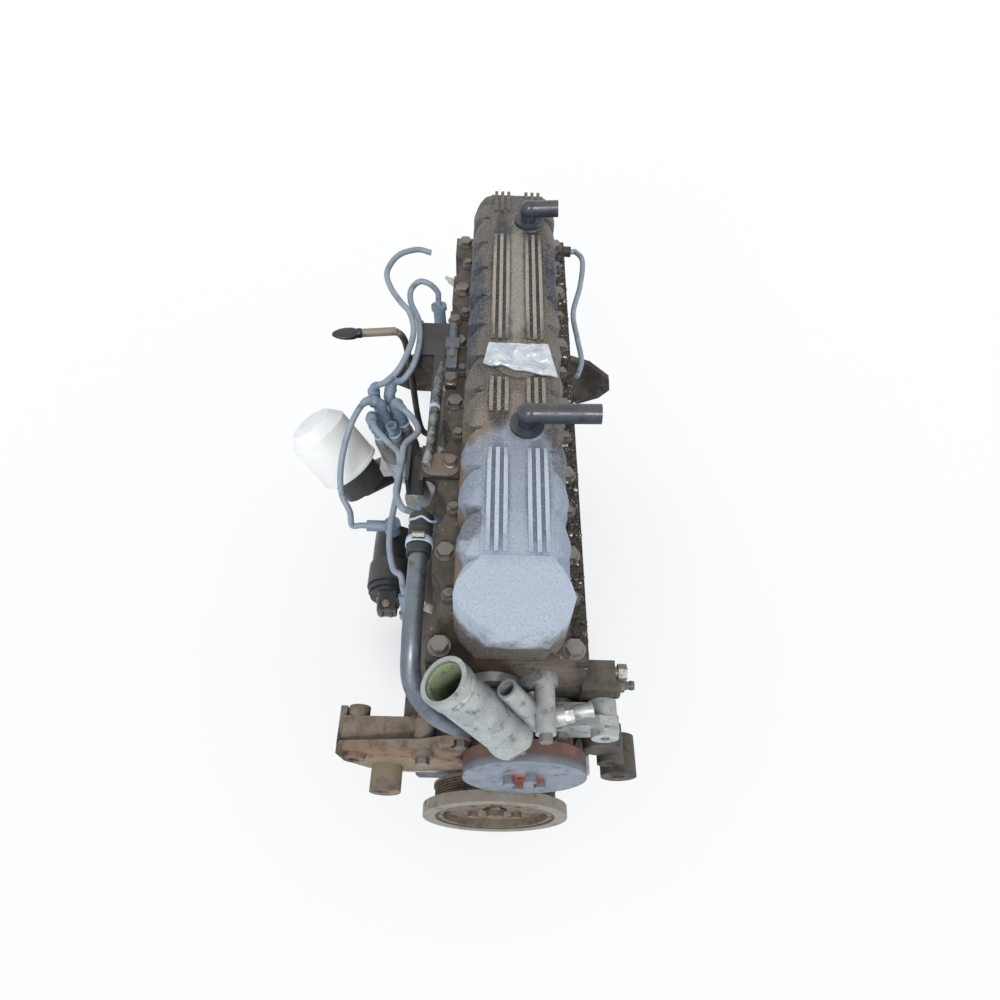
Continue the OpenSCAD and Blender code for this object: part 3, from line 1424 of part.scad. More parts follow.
module filter_adapter() {
    color(ink) {
        bar_x(filter_boss_y, 96, -166, -140, 50);
        translate([-166, filter_boss_y, 96]) sphere(r = 25.4);
        bar([-166, filter_boss_y, 96], filter_foot - filter_way * 26, 46);
        bar(filter_foot - filter_way * 34, filter_foot - filter_way * 0.04, 70);
    }
}

// Dipstick

stick_low = [-160, -213.5, 319];
stick_way = unit([-74, -21, 10]);
stick_top = stick_low + stick_way * 48;
tube_route = [[-123.4, -215, 96], [-134, -215, 108], [-140, -213, 150], [-144, -211, 240], [-149, -211, 300], stick_low];

module dipstick_tube() {
    color(ink) {
        difference() {
            bar(stick_low, stick_top, 12);
            bar(stick_low + stick_way * 2, stick_top + stick_way, 7);
        }
        sweep(smooth(tube_route, 4), 10, 10);
    }
}

module dipstick() {
    color(ink) {
        bar(stick_low + stick_way * 4, stick_top + stick_way * 6, 5);
        bar(stick_top + stick_way * 0.1, stick_top + stick_way * 8, 14);
        aim(stick_top, stick_top + stick_way) translate([-4, -11, 7]) cube([8, 22, 34]);
    }
}

// Ignition coil and sheet brackets

coil_x = -148;
coil_z = 168;
coil_tower_y = -474;

module ignition_coil() {
    color(ink) {
        bar_y(coil_x, coil_z, -552, -462, 56);
        bar_y(coil_x, coil_z, -558, -551.9, 50);
        translate([coil_x - 10, -584, coil_z + 4]) cube([22, 28, 18]);
        translate([coil_x, coil_tower_y, coil_z + 24]) cylinder(h = 14, d = 17);
    }
}

module sheet_brackets() {
    rail_z = head_top + 10.2;
    color(ink) {
        difference() {
            union() {
                translate([-82, -345, rail_z]) cube([14, 145, 4]);
                translate([-118, -288, rail_z]) cube([40, 62, 4]);
                translate([-122, -288, rail_z - 22]) cube([4, 62, 30]);
                translate([-99, -460, rail_z]) cube([14, 176, 4]);
                translate([-100, -491, rail_z]) cube([42, 35, 4]);
                translate([-120, -496, rail_z - 26]) cube([21, 52, 30]);
            }
            translate([-116, -497, rail_z - 24]) cube([13, 54, 30]);
        }
        translate([-119, -546, coil_z - 40]) cube([3, 70, 70]);
        difference() {
            bar_y(coil_x, coil_z, -544, -512, 61);
            bar_y(coil_x, coil_z, -545, -511, 56.1);
        }
    }
}

// Breathers, filler tape, plugs and seals

module breather(x, y, hose_end, lift) {
    translate([x, y, 0]) {
        translate([0, 0, cover_top - 12]) cylinder(h = 16, r = 14.3);
        translate([0, 0, cover_top + 1.2]) cylinder(h = 5, r = 19);
        translate([0, 0, cover_top + 5]) cylinder(h = 18, r = 10);
    }
    difference() {
        union() {
            translate([x, y, cover_top + 21]) sphere(r = 12);
            bar([x, y, cover_top + 21], [hose_end, y, cover_top + 21 + lift], 22);
        }
        bar([x + 14, y, cover_top + 21 + lift * 0.3], [hose_end + 1, y, cover_top + 21 + lift], 16);
    }
}

module breathers() {
    color(ink) {
        breather(breather_spots[0][0], breather_spots[0][1], 96, 3);
        breather(breather_spots[1][0], breather_spots[1][1], 62, 3);
    }
}

module filler_tape() {
    color([0.9, 0.9, 0.92]) translate([0, 0, cover_top - 0.9]) linear_extrude(1.5) {
        polygon([[-33, -380], [-27, -345], [44, -346], [54, -400], [10, -396], [-24, -398]]);
    }
}

module plugs_and_seals() {
    color(steel) for (i = [0:cylinders - 1]) translate([66, bore_y(i), core_plug_z]) rotate([0, 90, 0]) {
        cylinder(h = 4, d = core_plug_d - 0.1);
    }
    color(steel) bar_x(-20, 322, head_right, head_right + 12, 16);
    color(ink) {
        ring_y(0, 0, block_rear - 11, block_rear - 1, flange_d + 3.9, flange_d + 0.1);
        ring_y(0, 0, timing_front - 4, timing_front + 3.9, 51.9, 50.1);
        bar_y(cam_x, cam_z, block_rear - 8, block_rear - 4, cam_journal_d + 2 * run_gap - 0.02);
    }
}

// Leads and their boots

// Boot with a socket for a lead in its top
module wire_boot(length, d) {
    difference() {
        cylinder(h = length, d = d);
        translate([0, 0, length - 8]) cylinder(h = 9, d = lead_d + 0.8);
    }
}

module lead_boots() {
    color([0.45, 0.52, 0.6]) {
        dist_frame() {
            for (a = [0:60:300]) rotate(a) translate([tower_r, 0, tower_top]) wire_boot(26, 16);
            translate([0, 0, tower_top + 10]) wire_boot(20, 16);
        }
        plug_frame(1, plug_seat_x) difference() {
            union() {
                translate([0, 0, 20]) cylinder(h = 36, d = 17);
                translate([0, 0, 55]) cylinder(h = 7, d = 22);
            }
            translate([0, 0, 16]) cylinder(h = 33, d = 10.2);
            translate([0, 0, 52]) cylinder(h = 12, d = lead_d + 0.8);
        }
        difference() {
            union() {
                bar(plug_point(4, 20), plug_point(4, boot_bend), 17);
                translate(plug_point(4, boot_bend)) sphere(d = 18.6);
                bar(plug_point(4, boot_bend), plug_point(4, boot_bend) + bent_way * 30, 17);
                bar(plug_point(4, boot_bend) + bent_way * 26, plug_point(4, boot_bend) + bent_way * 33, 22);
            }
            bar(plug_point(4, 16), plug_point(4, 49), 10.2);
            bar(plug_point(4, boot_bend) + bent_way * 22, plug_point(4, boot_bend) + bent_way * 35, lead_d + 0.8);
        }
        aim(front_tip, front_tip + front_way) difference() {
            union() {
                cylinder(h = 8, d = 22);
                translate([0, 0, 7]) cylinder(h = 24, d = 16);
            }
            translate([0, 0, -1]) cylinder(h = 12, d = 12);
            translate([0, 0, 22]) cylinder(h = 12, d = lead_d + 0.8);
        }
        difference() {
            union() {
                translate([coil_x, coil_tower_y, coil_z + 34]) cylinder(h = 18, d = 22);
                bar([coil_x, coil_tower_y, coil_z + 44], [coil_x - 34, coil_tower_y, coil_z + 44], 15);
            }
            translate([coil_x, coil_tower_y, coil_z + 20]) cylinder(h = 18.2, d = 17.6);
            bar([coil_x - 24, coil_tower_y, coil_z + 44], [coil_x - 36, coil_tower_y, coil_z + 44], lead_d + 0.8);
        }
    }
}

coil_end = [for (t = [54, 42, 27]) [coil_x - t, coil_tower_y, coil_z + 44]];
front_end = [for (t = [56, 40, 24]) front_tip + front_way * t];

module lead(route) {
    color(lead_grey) sweep(smooth(route, 3), lead_d, lead_sides);
}

cylinder_block();
cylinder_head();
gaskets();
valve_cover();
bolts();
oil_pan();
timing_cover();
main_bearing_caps();
spark_plugs();
thermostat_housing();
hose_barb();
water_pump_housing();
heater_pipe();
heater_hose();
distributor_housing();
distributor_cap();
oil_filter();
filter_adapter();
dipstick_tube();
dipstick();
ignition_coil();
sheet_brackets();
accessory_bracket();
alternator_bracket();
steering_pump_bracket();
breathers();
filler_tape();
plugs_and_seals();
rocker_bridges();
oil_pump_body();
lead_boots();
lead(concat(cap_lead(60, tower_r, boot_top), mid_six, bent_lead(4)));  // lead_six
lead(concat(cap_lead(0, tower_r, boot_top), mid_two, plug_lead(1)));  // lead_two
lead(concat(cap_lead(0, 0, tower_top + 30), mid_coil, coil_end));  // lead_coil
lead(concat(cap_lead(240, tower_r, boot_top), mid_front, front_end));  // lead_front
lead(concat(cap_lead(120, tower_r, boot_top), route_tail));  // lead_loose
lead(route_sensor);  // sensor_lead
crankshaft();
crank_sprocket();
damper_hub();
damper_ring();
damper_rubber();
connecting_rods();
timing_chain();
camshaft();
cam_sprocket();
distributor_shaft();
oil_pump_idler();
pump_rotor();
pump_pulley();
color(alloy) piston_pair(0);  // pistons_1_6
color(alloy) piston_pair(1);  // pistons_2_5
color(alloy) piston_pair(2);  // pistons_3_4
color(steel) for (i = [0:cylinders - 1]) valve(bore_y(i) - inlet_y, inlet_d);  // inlet_valves
color(steel) for (i = [0:cylinders - 1]) valve(bore_y(i) + exhaust_y, exhaust_d);  // exhaust_valves
valve_springs();
rockers(-inlet_y);  // inlet_rockers
rockers(exhaust_y);  // exhaust_rockers
pushrods(-inlet_y);  // inlet_pushrods
pushrods(exhaust_y);  // exhaust_pushrods
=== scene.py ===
"""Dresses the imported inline-six engine: finishes, leads, hose, foil patch, fittings, lamps and camera."""

from __future__ import annotations

import logging
import math
import random
from dataclasses import dataclass
from enum import Enum
from typing import Any, Callable, Sequence

import bmesh
import bpy
from mathutils import Matrix, Vector, noise

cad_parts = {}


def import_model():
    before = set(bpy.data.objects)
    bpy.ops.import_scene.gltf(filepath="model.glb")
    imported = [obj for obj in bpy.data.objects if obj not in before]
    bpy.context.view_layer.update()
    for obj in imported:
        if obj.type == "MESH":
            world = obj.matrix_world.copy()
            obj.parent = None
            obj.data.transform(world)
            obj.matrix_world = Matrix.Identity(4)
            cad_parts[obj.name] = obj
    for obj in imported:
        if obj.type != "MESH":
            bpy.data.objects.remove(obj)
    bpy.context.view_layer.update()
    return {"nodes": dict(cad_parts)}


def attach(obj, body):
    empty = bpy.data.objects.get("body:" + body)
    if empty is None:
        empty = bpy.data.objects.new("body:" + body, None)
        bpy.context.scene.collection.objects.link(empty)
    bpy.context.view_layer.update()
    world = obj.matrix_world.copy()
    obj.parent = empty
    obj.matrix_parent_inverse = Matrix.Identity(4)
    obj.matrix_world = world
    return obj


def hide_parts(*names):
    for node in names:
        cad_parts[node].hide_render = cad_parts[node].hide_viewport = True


LOG = logging.getLogger("engine")
MM = 0.001
Point = tuple[float, float, float]
Outline = Sequence[tuple[float, float]]
Tree = bpy.types.NodeTree
Thing = bpy.types.Object
Mesh = bpy.types.Mesh
Material = bpy.types.Material
UP = Vector((0, 0, 1))
RIGHT = Vector((1, 0, 0))
FORWARD = Vector((0, -1, 0))
# A direction with more than this of its length along Z is steep
STEEP = 0.9


class Body(str, Enum):
    """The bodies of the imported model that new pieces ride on."""

    ENGINE = "engine"
    DIPSTICK = "dipstick_blade"


def vec(point: Sequence[float]) -> Vector:
    """Turns a point in millimetres into a vector in metres."""
    return Vector(point) * MM


def linear(colour: str) -> tuple[float, float, float, float]:
    """Turns an sRGB hex colour into linear values.

    Args:
        colour: six hex digits with a leading hash.

    Returns:
        Red, green, blue and an alpha of one.
    """
    values = [int(colour[i:i + 2], 16) / 255 for i in (1, 3, 5)]
    return tuple(v / 12.92 if v <= 0.04045 else ((v + 0.055) / 1.055) ** 2.4 for v in values) + (1.0,)


def add(tree: Tree, kind: str, links: dict[Any, Any] | None = None,
        **settings: Any) -> bpy.types.Node:
    """Adds one node to a tree.

    Args:
        tree: the tree that gets the node.
        kind: the node's type name.
        links: for each input, by name or index, an output socket to link or a value to set.
        settings: properties of the node.

    Returns:
        The new node.
    """
    item = tree.nodes.new(kind)
    for name, value in settings.items():
        setattr(item, name, value)
    for key, value in (links or {}).items():
        if isinstance(value, bpy.types.NodeSocket):
            tree.links.new(value, item.inputs[key])
        else:
            item.inputs[key].default_value = value
    return item


def reckon(tree: Tree, operation: str, first: Any, second: Any) -> Any:
    """Adds a math node for two sockets or values and returns its result."""
    return add(tree, "ShaderNodeMath", {0: first, 1: second}, operation=operation).outputs[0]


@dataclass(frozen=True)
class Patch:
    """A stain, a bare place or a coat that covers one region of a piece; on the cover some patches are
    painted highlight and painted shade instead.

    The region is an ellipsoid in the row frame with a ragged edge.
    """

    centre: Point
    radii: Point
    colour: str
    strength: float
    ragged: float
    grain: float


def stains_and_painted_light(*rows: tuple[Point, Point, str, float, float, float]) -> tuple[Patch, ...]:
    """Makes a patch of each row of centre, radii, colour, strength, raggedness and grain."""
    return tuple(Patch(*row) for row in rows)


class Shading:
    """The node tree of one material, with the nodes that its finish asks for."""

    def __init__(self, name: str) -> None:
        """Makes an empty tree.

        Args:
            name: the material's name.
        """
        self.material = bpy.data.materials.new(name)
        self.material.use_nodes = True
        self.tree = self.material.node_tree
        self.tree.nodes.clear()
        self.place = add(self.tree, "ShaderNodeTexCoord").outputs["Object"]

    def noise(self, size: float, detail: float) -> Any:
        """Adds a noise whose features are about size millimetres wide, and returns its factor."""
        return add(self.tree, "ShaderNodeTexNoise", {
            "Vector": self.place, "Scale": 1 / (size * MM), "Detail": detail, "Roughness": 0.6}).outputs[0]

    def span(self, value: Any, low: float, high: float, to_low: float = 0.0, to_high: float = 1.0) -> Any:
        """Maps a value from one range to another, with ends held, and returns it."""
        return add(self.tree, "ShaderNodeMapRange", {
            "Value": value, "From Min": low, "From Max": high,
            "To Min": to_low, "To Max": to_high}).outputs[0]

    def mix(self, factor: Any, first: Any, second: Any) -> Any:
        """Mixes two colours, each a socket or a value, by a factor and returns the result."""
        item = add(self.tree, "ShaderNodeMix", {0: factor, 6: first, 7: second}, data_type="RGBA")
        return item.outputs[2]

    def facing_up(self) -> Any:
        """Returns how far a surface faces up, from zero to one."""
        normal = add(self.tree, "ShaderNodeNewGeometry").outputs["Normal"]
        return self.span(add(self.tree, "ShaderNodeSeparateXYZ", {0: normal}).outputs[2], 0.1, 0.9)

    def patch(self, patch: Patch) -> Any:
        """Builds the mask of one patch.

        Args:
            patch: the region.

        Returns:
            The mask, from zero to the patch's strength.
        """
        kind, tree = "ShaderNodeVectorMath", self.tree
        offset = add(tree, kind, {0: self.place, 1: vec(patch.centre)}, operation="SUBTRACT").outputs[0]
        share = add(tree, kind, {0: offset, 1: vec(patch.radii)}, operation="DIVIDE").outputs[0]
        reach = add(tree, kind, {0: share}, operation="LENGTH").outputs["Value"]
        wave = self.span(self.noise(patch.grain, 5.0), 0.0, 1.0, -patch.ragged, patch.ragged)
        return self.span(reckon(tree, "ADD", reach, wave), 0.75, 1.05, patch.strength, 0.0)


@dataclass(frozen=True)
class Finish:
    """A surface finish: what it is made of, how it was made and how it has aged, and on the cover the
    highlight and shade painted into its colour.

    Lengths are in millimetres. The finishes below list their values in the order of these fields.
    """

    name: str
    base: str
    tone: str
    grime: str
    dust: str
    metallic: float
    roughness: float
    tone_size: float
    grain: float
    bump: float
    grime_amount: float
    grime_size: float
    dust_amount: float
    speck: str = ""
    speck_size: float = 3.0
    speck_amount: float = 0.3
    salt: float = 0.0
    patches: tuple[Patch, ...] = ()

    def build(self) -> Material:
        """Builds the node material.

        Returns:
            The material.
        """
        shading = Shading(self.name)
        tree = shading.tree
        broad = shading.noise(self.tone_size, 4.0)
        colour = shading.mix(shading.span(broad, 0.38, 0.62), linear(self.base), linear(self.tone))
        fine = shading.noise(self.grain, 3.0)
        shade = shading.mix(shading.span(fine, 0.3, 0.7, 0.0, 0.22), colour, linear(self.grime))
        mottle = shading.noise(self.grime_size, 6.0)
        limit = 0.66 - 0.3 * self.grime_amount
        dirt = shading.span(mottle, limit, limit + 0.14, 0.0, 0.85)
        shade = shading.mix(dirt, shade, linear(self.grime))
        if self.speck:
            cells = add(tree, "ShaderNodeTexVoronoi", {
                "Vector": shading.place, "Scale": 1 / (self.speck_size * MM)})
            spread = shading.noise(self.speck_size * 6, 2.0)
            near = shading.span(cells.outputs["Distance"], 0.16, 0.3, 1.0, 0.0)
            start = 0.62 - 0.3 * self.speck_amount
            gate = shading.span(spread, start, start + 0.08)
            shade = shading.mix(reckon(tree, "MULTIPLY", near, gate), shade, linear(self.speck))
        lying = shading.facing_up()
        drift = shading.noise(self.grime_size * 1.7, 5.0)
        settled = shading.span(drift, 0.35, 0.65, 0.35, 1.0)
        coat = reckon(tree, "MULTIPLY", reckon(tree, "MULTIPLY", lying, settled), self.dust_amount)
        shade = shading.mix(coat, shade, linear(self.dust))
        for patch in self.patches:
            shade = shading.mix(shading.patch(patch), shade, linear(patch.colour))
        if self.salt:
            frost = shading.noise(self.grain * 1.8, 2.0)
            white = shading.span(frost, 0.54, 0.66, 0.0, self.salt)
            black = shading.span(frost, 0.34, 0.44, self.salt, 0.0)
            shade = shading.mix(white, shade, linear("#dfe7ef"))
            shade = shading.mix(black, shade, linear("#1f2329"))
        matt = shading.span(mottle, 0.3, 0.7, self.roughness - 0.08, min(self.roughness + 0.14, 1.0))
        pits = reckon(tree, "ADD", fine, broad)
        bump = add(tree, "ShaderNodeBump", {"Height": pits, "Strength": 0.6, "Distance": self.bump * MM})
        shader = add(tree, "ShaderNodeBsdfPrincipled", {
            "Base Color": shade, "Metallic": self.metallic, "Roughness": matt, "Normal": bump.outputs[0]})
        add(tree, "ShaderNodeOutputMaterial", {"Surface": shader.outputs[0]})
        return shading.material


class Shop:
    """Builds each finish once and keeps the material."""

    def __init__(self) -> None:
        """Starts with no material."""
        self.made: dict[str, Material] = {}

    def get(self, finish: Finish) -> Material:
        """Returns the material of a finish, and builds it at first use.

        Args:
            finish: the finish.

        Returns:
            Its material.
        """
        if finish.name not in self.made:
            self.made[finish.name] = finish.build()
        return self.made[finish.name]


SHOP = Shop()

# Sand-cast iron, dusty and oily: a coarse grain with brown grime in it, black on the rear ears
DUSTY_IRON = Finish(
    "dusty_cast_iron", "#4e4842", "#625b53", "#25201d", "#857b6f", 0.2, 0.8, 60, 1.8, 0.5, 0.55, 26, 0.4,
    patches=stains_and_painted_light(*(((x, -90, 70), (62, 90, 150), "#262220", 0.9, 0.3, 14) for x in (175, -175))))
# The same iron under a skin of burnt oil, with a wet dark run at the front and flakes of old paint
HEAD_IRON = Finish(
    "oily_cast_iron", "#3f3a35", "#575048", "#1c1816", "#82776a", 0.15, 0.8, 45, 2.0, 0.6, 0.55, 20, 0.45,
    "#c9c2b4", 3.2, 0.1, patches=stains_and_painted_light(
        ((40, -716, 300), (40, 16, 40), "#7a6e60", 0.6, 0.6, 14),
        ((-26, -714, 318), (34, 22, 42), "#3b2b1d", 0.95, 0.4, 12),
        ((-52, -690, 333), (26, 34, 16), "#33271c", 0.9, 0.5, 12),
        ((76, -560, 333), (16, 170, 14), "#26211d", 0.95, 0.6, 9),
        ((76, -230, 333), (16, 230, 14), "#231f1c", 0.95, 0.6, 9)))
# Grey casting of the pump bracket, oil-black in the corners
DARK_IRON = Finish(
    "oil_black_iron", "#403c39", "#57514a", "#1d1a18", "#7d7264", 0.25, 0.7, 30, 1.8, 0.4, 0.5, 18, 0.35)
# Rusted casting: orange scale over brown, with sandy dust on the faces
RUSTY_IRON = Finish(
    "rusty_cast_iron", "#665549", "#7f7163", "#2d2621", "#9c9080", 0.12, 0.85, 22, 2.2, 0.7, 0.55, 14, 0.5,
    "#94603f", 6.0, 0.35, patches=stains_and_painted_light(
        ((-120, -752, 165), (90, 12, 14), "#8f6a52", 0.6, 0.6, 10),
        ((-185, -752, 135), (22, 30, 40), "#332c28", 0.85, 0.6, 10),
        ((-120, -760, 120), (80, 14, 34), "#8b7b64", 0.8, 0.5, 12)))
# Rows of ribs on the cover: their X, half width, height and half height of the lighter tops and of the
# grooves with painted shade
RIB_ROWS = (-13.8, 28.8)
RIB_REACH = 15
RIB_TOP = (424.8, 1.9)
RIB_GROOVE = (420.9, 1.7)
# Runs along each row: middle, half length, level, colour, strength and raggedness
RIB_RUNS = (
    (-230, 125, RIB_TOP, "#a69c8e", 0.85, 0.2),
    (-426, 40, RIB_TOP, "#988d81", 0.8, 0.2),
    # This front top run is a painted highlight, like the front of the cover
    (-560, 80, RIB_TOP, "#c3cad2", 0.8, 0.2),
    # The groove runs are painted shade in the grooves between the ribs
    (-205, 150, RIB_GROOVE, "#2c2e32", 0.8, 0.15),
    (-435, 50, RIB_GROOVE, "#33322f", 0.8, 0.15),
    (-560, 80, RIB_GROOVE, "#5d6876", 0.75, 0.15))
# Die-cast aluminium cover: a blue-white painted highlight at the front of its top and sides, oily dust and
# black staining behind
COVER_ALLOY = Finish(
    "stained_cover_alloy", "#665f57", "#57534f", "#2c2b2d", "#877967", 0.3, 0.6, 55, 1.4, 0.35, 0.42, 30,
    0.3, salt=0.17, patches=stains_and_painted_light(
        ((5, -480, 424), (70, 60, 16), "#8a7c6c", 0.7, 0.5, 20),
        # The next five patches, blue-white at the front of the top and sides, are painted highlight
        ((4, -670, 425), (90, 70, 60), "#b1bac7", 0.97, 0.3, 14),
        ((6, -590, 425), (90, 60, 44), "#a1aab8", 0.9, 0.4, 16),
        ((6, -530, 425), (60, 60, 30), "#959dab", 0.85, 0.5, 18),
        ((56, -590, 385), (16, 110, 44), "#929daf", 0.85, 0.5, 16),
        ((-46, -535, 400), (20, 46, 34), "#868f9f", 0.85, 0.5, 14),
        ((-50, -480, 380), (26, 60, 24), "#7a654e", 0.8, 0.6, 16),
        ((-54, -590, 372), (26, 90, 22), "#80694f", 0.85, 0.5, 16),
        ((-40, -596, 408), (20, 26, 22), "#4d4f54", 0.7, 0.6, 12),
        ((50, -480, 385), (20, 60, 50), "#4b4c52", 0.75, 0.6, 14),
        ((56, -400, 380), (20, 70, 50), "#6b6056", 0.6, 0.6, 14),
        ((-52, -390, 370), (24, 60, 26), "#735f49", 0.75, 0.6, 16),
        ((-44, -250, 395), (20, 130, 32), "#373e48", 0.85, 0.6, 14),
        ((-54, -230, 362), (22, 170, 18), "#705b45", 0.8, 0.5, 16),
        ((50, -200, 395), (16, 90, 34), "#2b313a", 0.85, 0.6, 12),
        ((56, -190, 362), (18, 160, 20), "#3a3632", 0.7, 0.6, 14),
        ((7, -215, 424.5), (13, 150, 8), "#9b948a", 0.75, 0.4, 16),
        *(((x, y, z), (RIB_REACH, reach, half), colour, strength, ragged, 9)
          for y, reach, (z, half), colour, strength, ragged in RIB_RUNS for x in RIB_ROWS)))
# Machined steel gone dull
DULL_STEEL = Finish(
    "dull_steel", "#7f7d79", "#8d8a85", "#45403b", "#8f8372", 0.85, 0.45, 30, 1.0, 0.15, 0.3, 12, 0.15)
# Clean ground steel of the running gear
GROUND_STEEL = Finish(
    "ground_steel", "#a3a39f", "#93938f", "#5b5752", "#93938f", 1.0, 0.28, 40, 0.8, 0.06, 0.15, 20, 0.0)
FORGED_STEEL = Finish(
    "forged_steel", "#6e6c69", "#7c7a76", "#44413d", "#7c7a76", 0.9, 0.5, 25, 1.6, 0.3, 0.3, 20, 0.0)
# Sand-cast aluminium, bare, with chalky oxide
BARE_ALLOY = Finish(
    "bare_cast_alloy", "#b4b8b7", "#9ea4a6", "#4f4c48", "#b9ad97", 0.5, 0.46, 24, 1.5, 0.3, 0.32, 12, 0.2,
    "#dfe3e2", 3.0, 0.12)
# Mineral scale on the inside of the coolant neck: a matt yellow-green crust
NECK_SCALE = Finish(
    "mineral_scale", "#8f9a70", "#7c8a76", "#555a45", "#a5a58a", 0.0, 0.8, 9, 1.2, 0.3, 0.35, 8, 0.1)
PISTON_ALLOY = Finish(
    "piston_alloy", "#b6b6b3", "#a6a6a3", "#777571", "#a6a6a3", 0.9, 0.35, 30, 1.0, 0.08, 0.1, 20, 0.0)
# Pump pulley: worn blue-grey paint on pressed steel, rust showing at the hub and all over the rim
PULLEY_PAINT = Finish(
    "worn_pulley_paint", "#828c99", "#747f8c", "#4c4038", "#8d8476", 0.3, 0.5, 26, 1.2, 0.15, 0.35, 16, 0.2,
    "#8a5b40", 4.0, 0.2, patches=stains_and_painted_light(
        ((29, -750, 166), (600, 29.5, 600), "#5e4844", 0.96, 0.03, 8),
        ((29, -758, 166), (400, 16, 400), "#70544c", 0.6, 0.6, 6),
        ((84, -758, 226), (20, 14, 20), "#94624a", 0.5, 0.6, 8),
        ((106, -760, 196), (16, 14, 26), "#66727f", 0.7, 0.6, 8),
        ((29, -781, 166), (24, 12, 24), "#8c5448", 0.92, 0.3, 7)))
# Damper ring: bare machined iron gone tan-grey, rust along the edges
DAMPER_IRON = Finish(
    "damper_iron", "#8b8074", "#888680", "#4b4036", "#a89c8b", 0.35, 0.55, 24, 1.2, 0.2, 0.35, 14, 0.35,
    "#7a5138", 4.0, 0.3)
HUB_IRON = Finish(
    "hub_iron", "#6e6256", "#7c6e61", "#392d25", "#8f8170", 0.35, 0.65, 22, 1.6, 0.3, 0.5, 12, 0.35,
    "#7a5238", 5.0, 0.35)
# Black enamel on sheet steel, dusty
DUSTY_TUBE = Finish(
    "dusty_tube", "#34302d", "#4c463f", "#1b1817", "#9b9080", 0.2, 0.55, 20, 1.4, 0.15, 0.35, 14, 0.6,
    patches=stains_and_painted_light(((-190, -208, 330), (46, 30, 40), "#968b7b", 0.85, 0.5, 10)))
BLACK_ENAMEL = Finish(
    "black_enamel", "#1e2126", "#2a2d33", "#0f1012", "#6c6459", 0.0, 0.42, 40, 1.4, 0.12, 0.2, 20, 0.28,
    "#5b4536", 4.0, 0.15)
# White baked enamel on the filter can
WHITE_ENAMEL = Finish(
    "white_enamel", "#f0f0ee", "#e6e6e3", "#a8a498", "#d9d6cf", 0.0, 0.3, 60, 2.0, 0.04, 0.05, 30, 0.1)
# Moulded phenolic: distributor cap and coil top
CAP_MOULDING = Finish(
    "cap_moulding", "#6e6a66", "#5c5d60", "#2c2a2a", "#8f887e", 0.0, 0.42, 22, 1.4, 0.12, 0.35, 14, 0.4)
COIL_BLACK = Finish(
    "coil_black", "#1c1f24", "#262a31", "#0d0e10", "#4e4a44", 0.1, 0.36, 30, 1.4, 0.08, 0.2, 20, 0.25)
# Silicone lead jackets, grey-blue under a film of dust
LEAD_SILICONE = Finish(
    "lead_silicone", "#8a98a6", "#7b8997", "#4c525a", "#a39c90", 0.0, 0.5, 30, 1.2, 0.05, 0.25, 14, 0.2)
BOOT_SILICONE = Finish(
    "boot_silicone", "#6f8093", "#7f8fa1", "#39434f", "#9a9790", 0.0, 0.46, 18, 1.2, 0.08, 0.35, 12, 0.25)
TIE_NYLON = Finish(
    "tie_nylon", "#b9c9de", "#a9b9ce", "#7b7f86", "#b9b2a5", 0.0, 0.45, 14, 1.0, 0.05, 0.2, 8, 0.1)
# Black rubber of hose, grommets and gaskets
BLACK_RUBBER = Finish(
    "black_rubber", "#1b1d21", "#24272c", "#101113", "#5e5b57", 0.0, 0.55, 20, 1.2, 0.12, 0.2, 12, 0.3)
BREATHER_RUBBER = Finish(
    "breather_rubber", "#333d4b", "#262d38", "#15181d", "#7b7468", 0.0, 0.3, 20, 1.4, 0.08, 0.3, 14, 0.25)
# Zinc-plated heater tube
PLATED_TUBE = Finish(
    "plated_tube", "#76828f", "#646e79", "#3a3733", "#8a8375", 0.7, 0.38, 30, 1.0, 0.1, 0.35, 16, 0.25)
# Aluminium foil tape, crumpled by hand
FOIL = Finish(
    "foil_tape", "#dfe6ee", "#b9c6d4", "#8f8c86", "#c9c4ba", 0.8, 0.3, 14, 1.0, 0.1, 0.15, 12, 0.2)
PLUG_CERAMIC = Finish(
    "plug_ceramic", "#dcd9d0", "#cfcbc1", "#8f877b", "#b9b1a3", 0.0, 0.3, 20, 1.2, 0.03, 0.15, 12, 0.15)
GASKET_FIBRE = Finish(
    "gasket_fibre", "#2e2b29", "#3a3633", "#191716", "#5e564d", 0.0, 0.85, 20, 1.2, 0.2, 0.3, 12, 0.2)
# Baked oil and road dirt, in crumbs
CRUST = Finish(
    "oil_crust", "#2c2621", "#35302b", "#100e0d", "#6a6158", 0.0, 0.85, 10, 1.6, 0.6, 0.4, 8, 0.3,
    "#d8d4ca", 3.0, 0.35)
# Old paint in flakes, off-white
PAINT_FLAKE = Finish(
    "paint_flake", "#e2dccb", "#cfc8b6", "#9a917f", "#cfc8b6", 0.0, 0.7, 8, 1.0, 0.1, 0.1, 8, 0.1)
# Sheathed conduit, worn to bright metal on top
WORN_CONDUIT = Finish(
    "worn_conduit", "#2a2f36", "#9a9d9e", "#191b1e", "#8d8679", 0.3, 0.5, 11, 1.4, 0.2, 0.3, 10, 0.3,
    "#c2c6c9", 4.0, 0.3)
# Moulded connector plastic gone grey-blue under dust
CONNECTOR_PLASTIC = Finish(
    "connector_plastic", "#39444f", "#566473", "#1b2026", "#8b877f", 0.0, 0.42, 14, 1.2, 0.12, 0.3, 9, 0.35)
BROWN_PLASTIC = Finish(
    "brown_plastic", "#6a6058", "#594f47", "#2c2520", "#94897b", 0.0, 0.55, 12, 1.2, 0.15, 0.35, 9, 0.35,
    "#8a5b40", 4.0, 0.3)
RUSTY_PLATE = Finish(
    "rusty_plate", "#6d6259", "#7a6d60", "#2e2620", "#93887b", 0.3, 0.65, 14, 1.4, 0.25, 0.4, 10, 0.4,
    "#8d5a38", 5.0, 0.4)

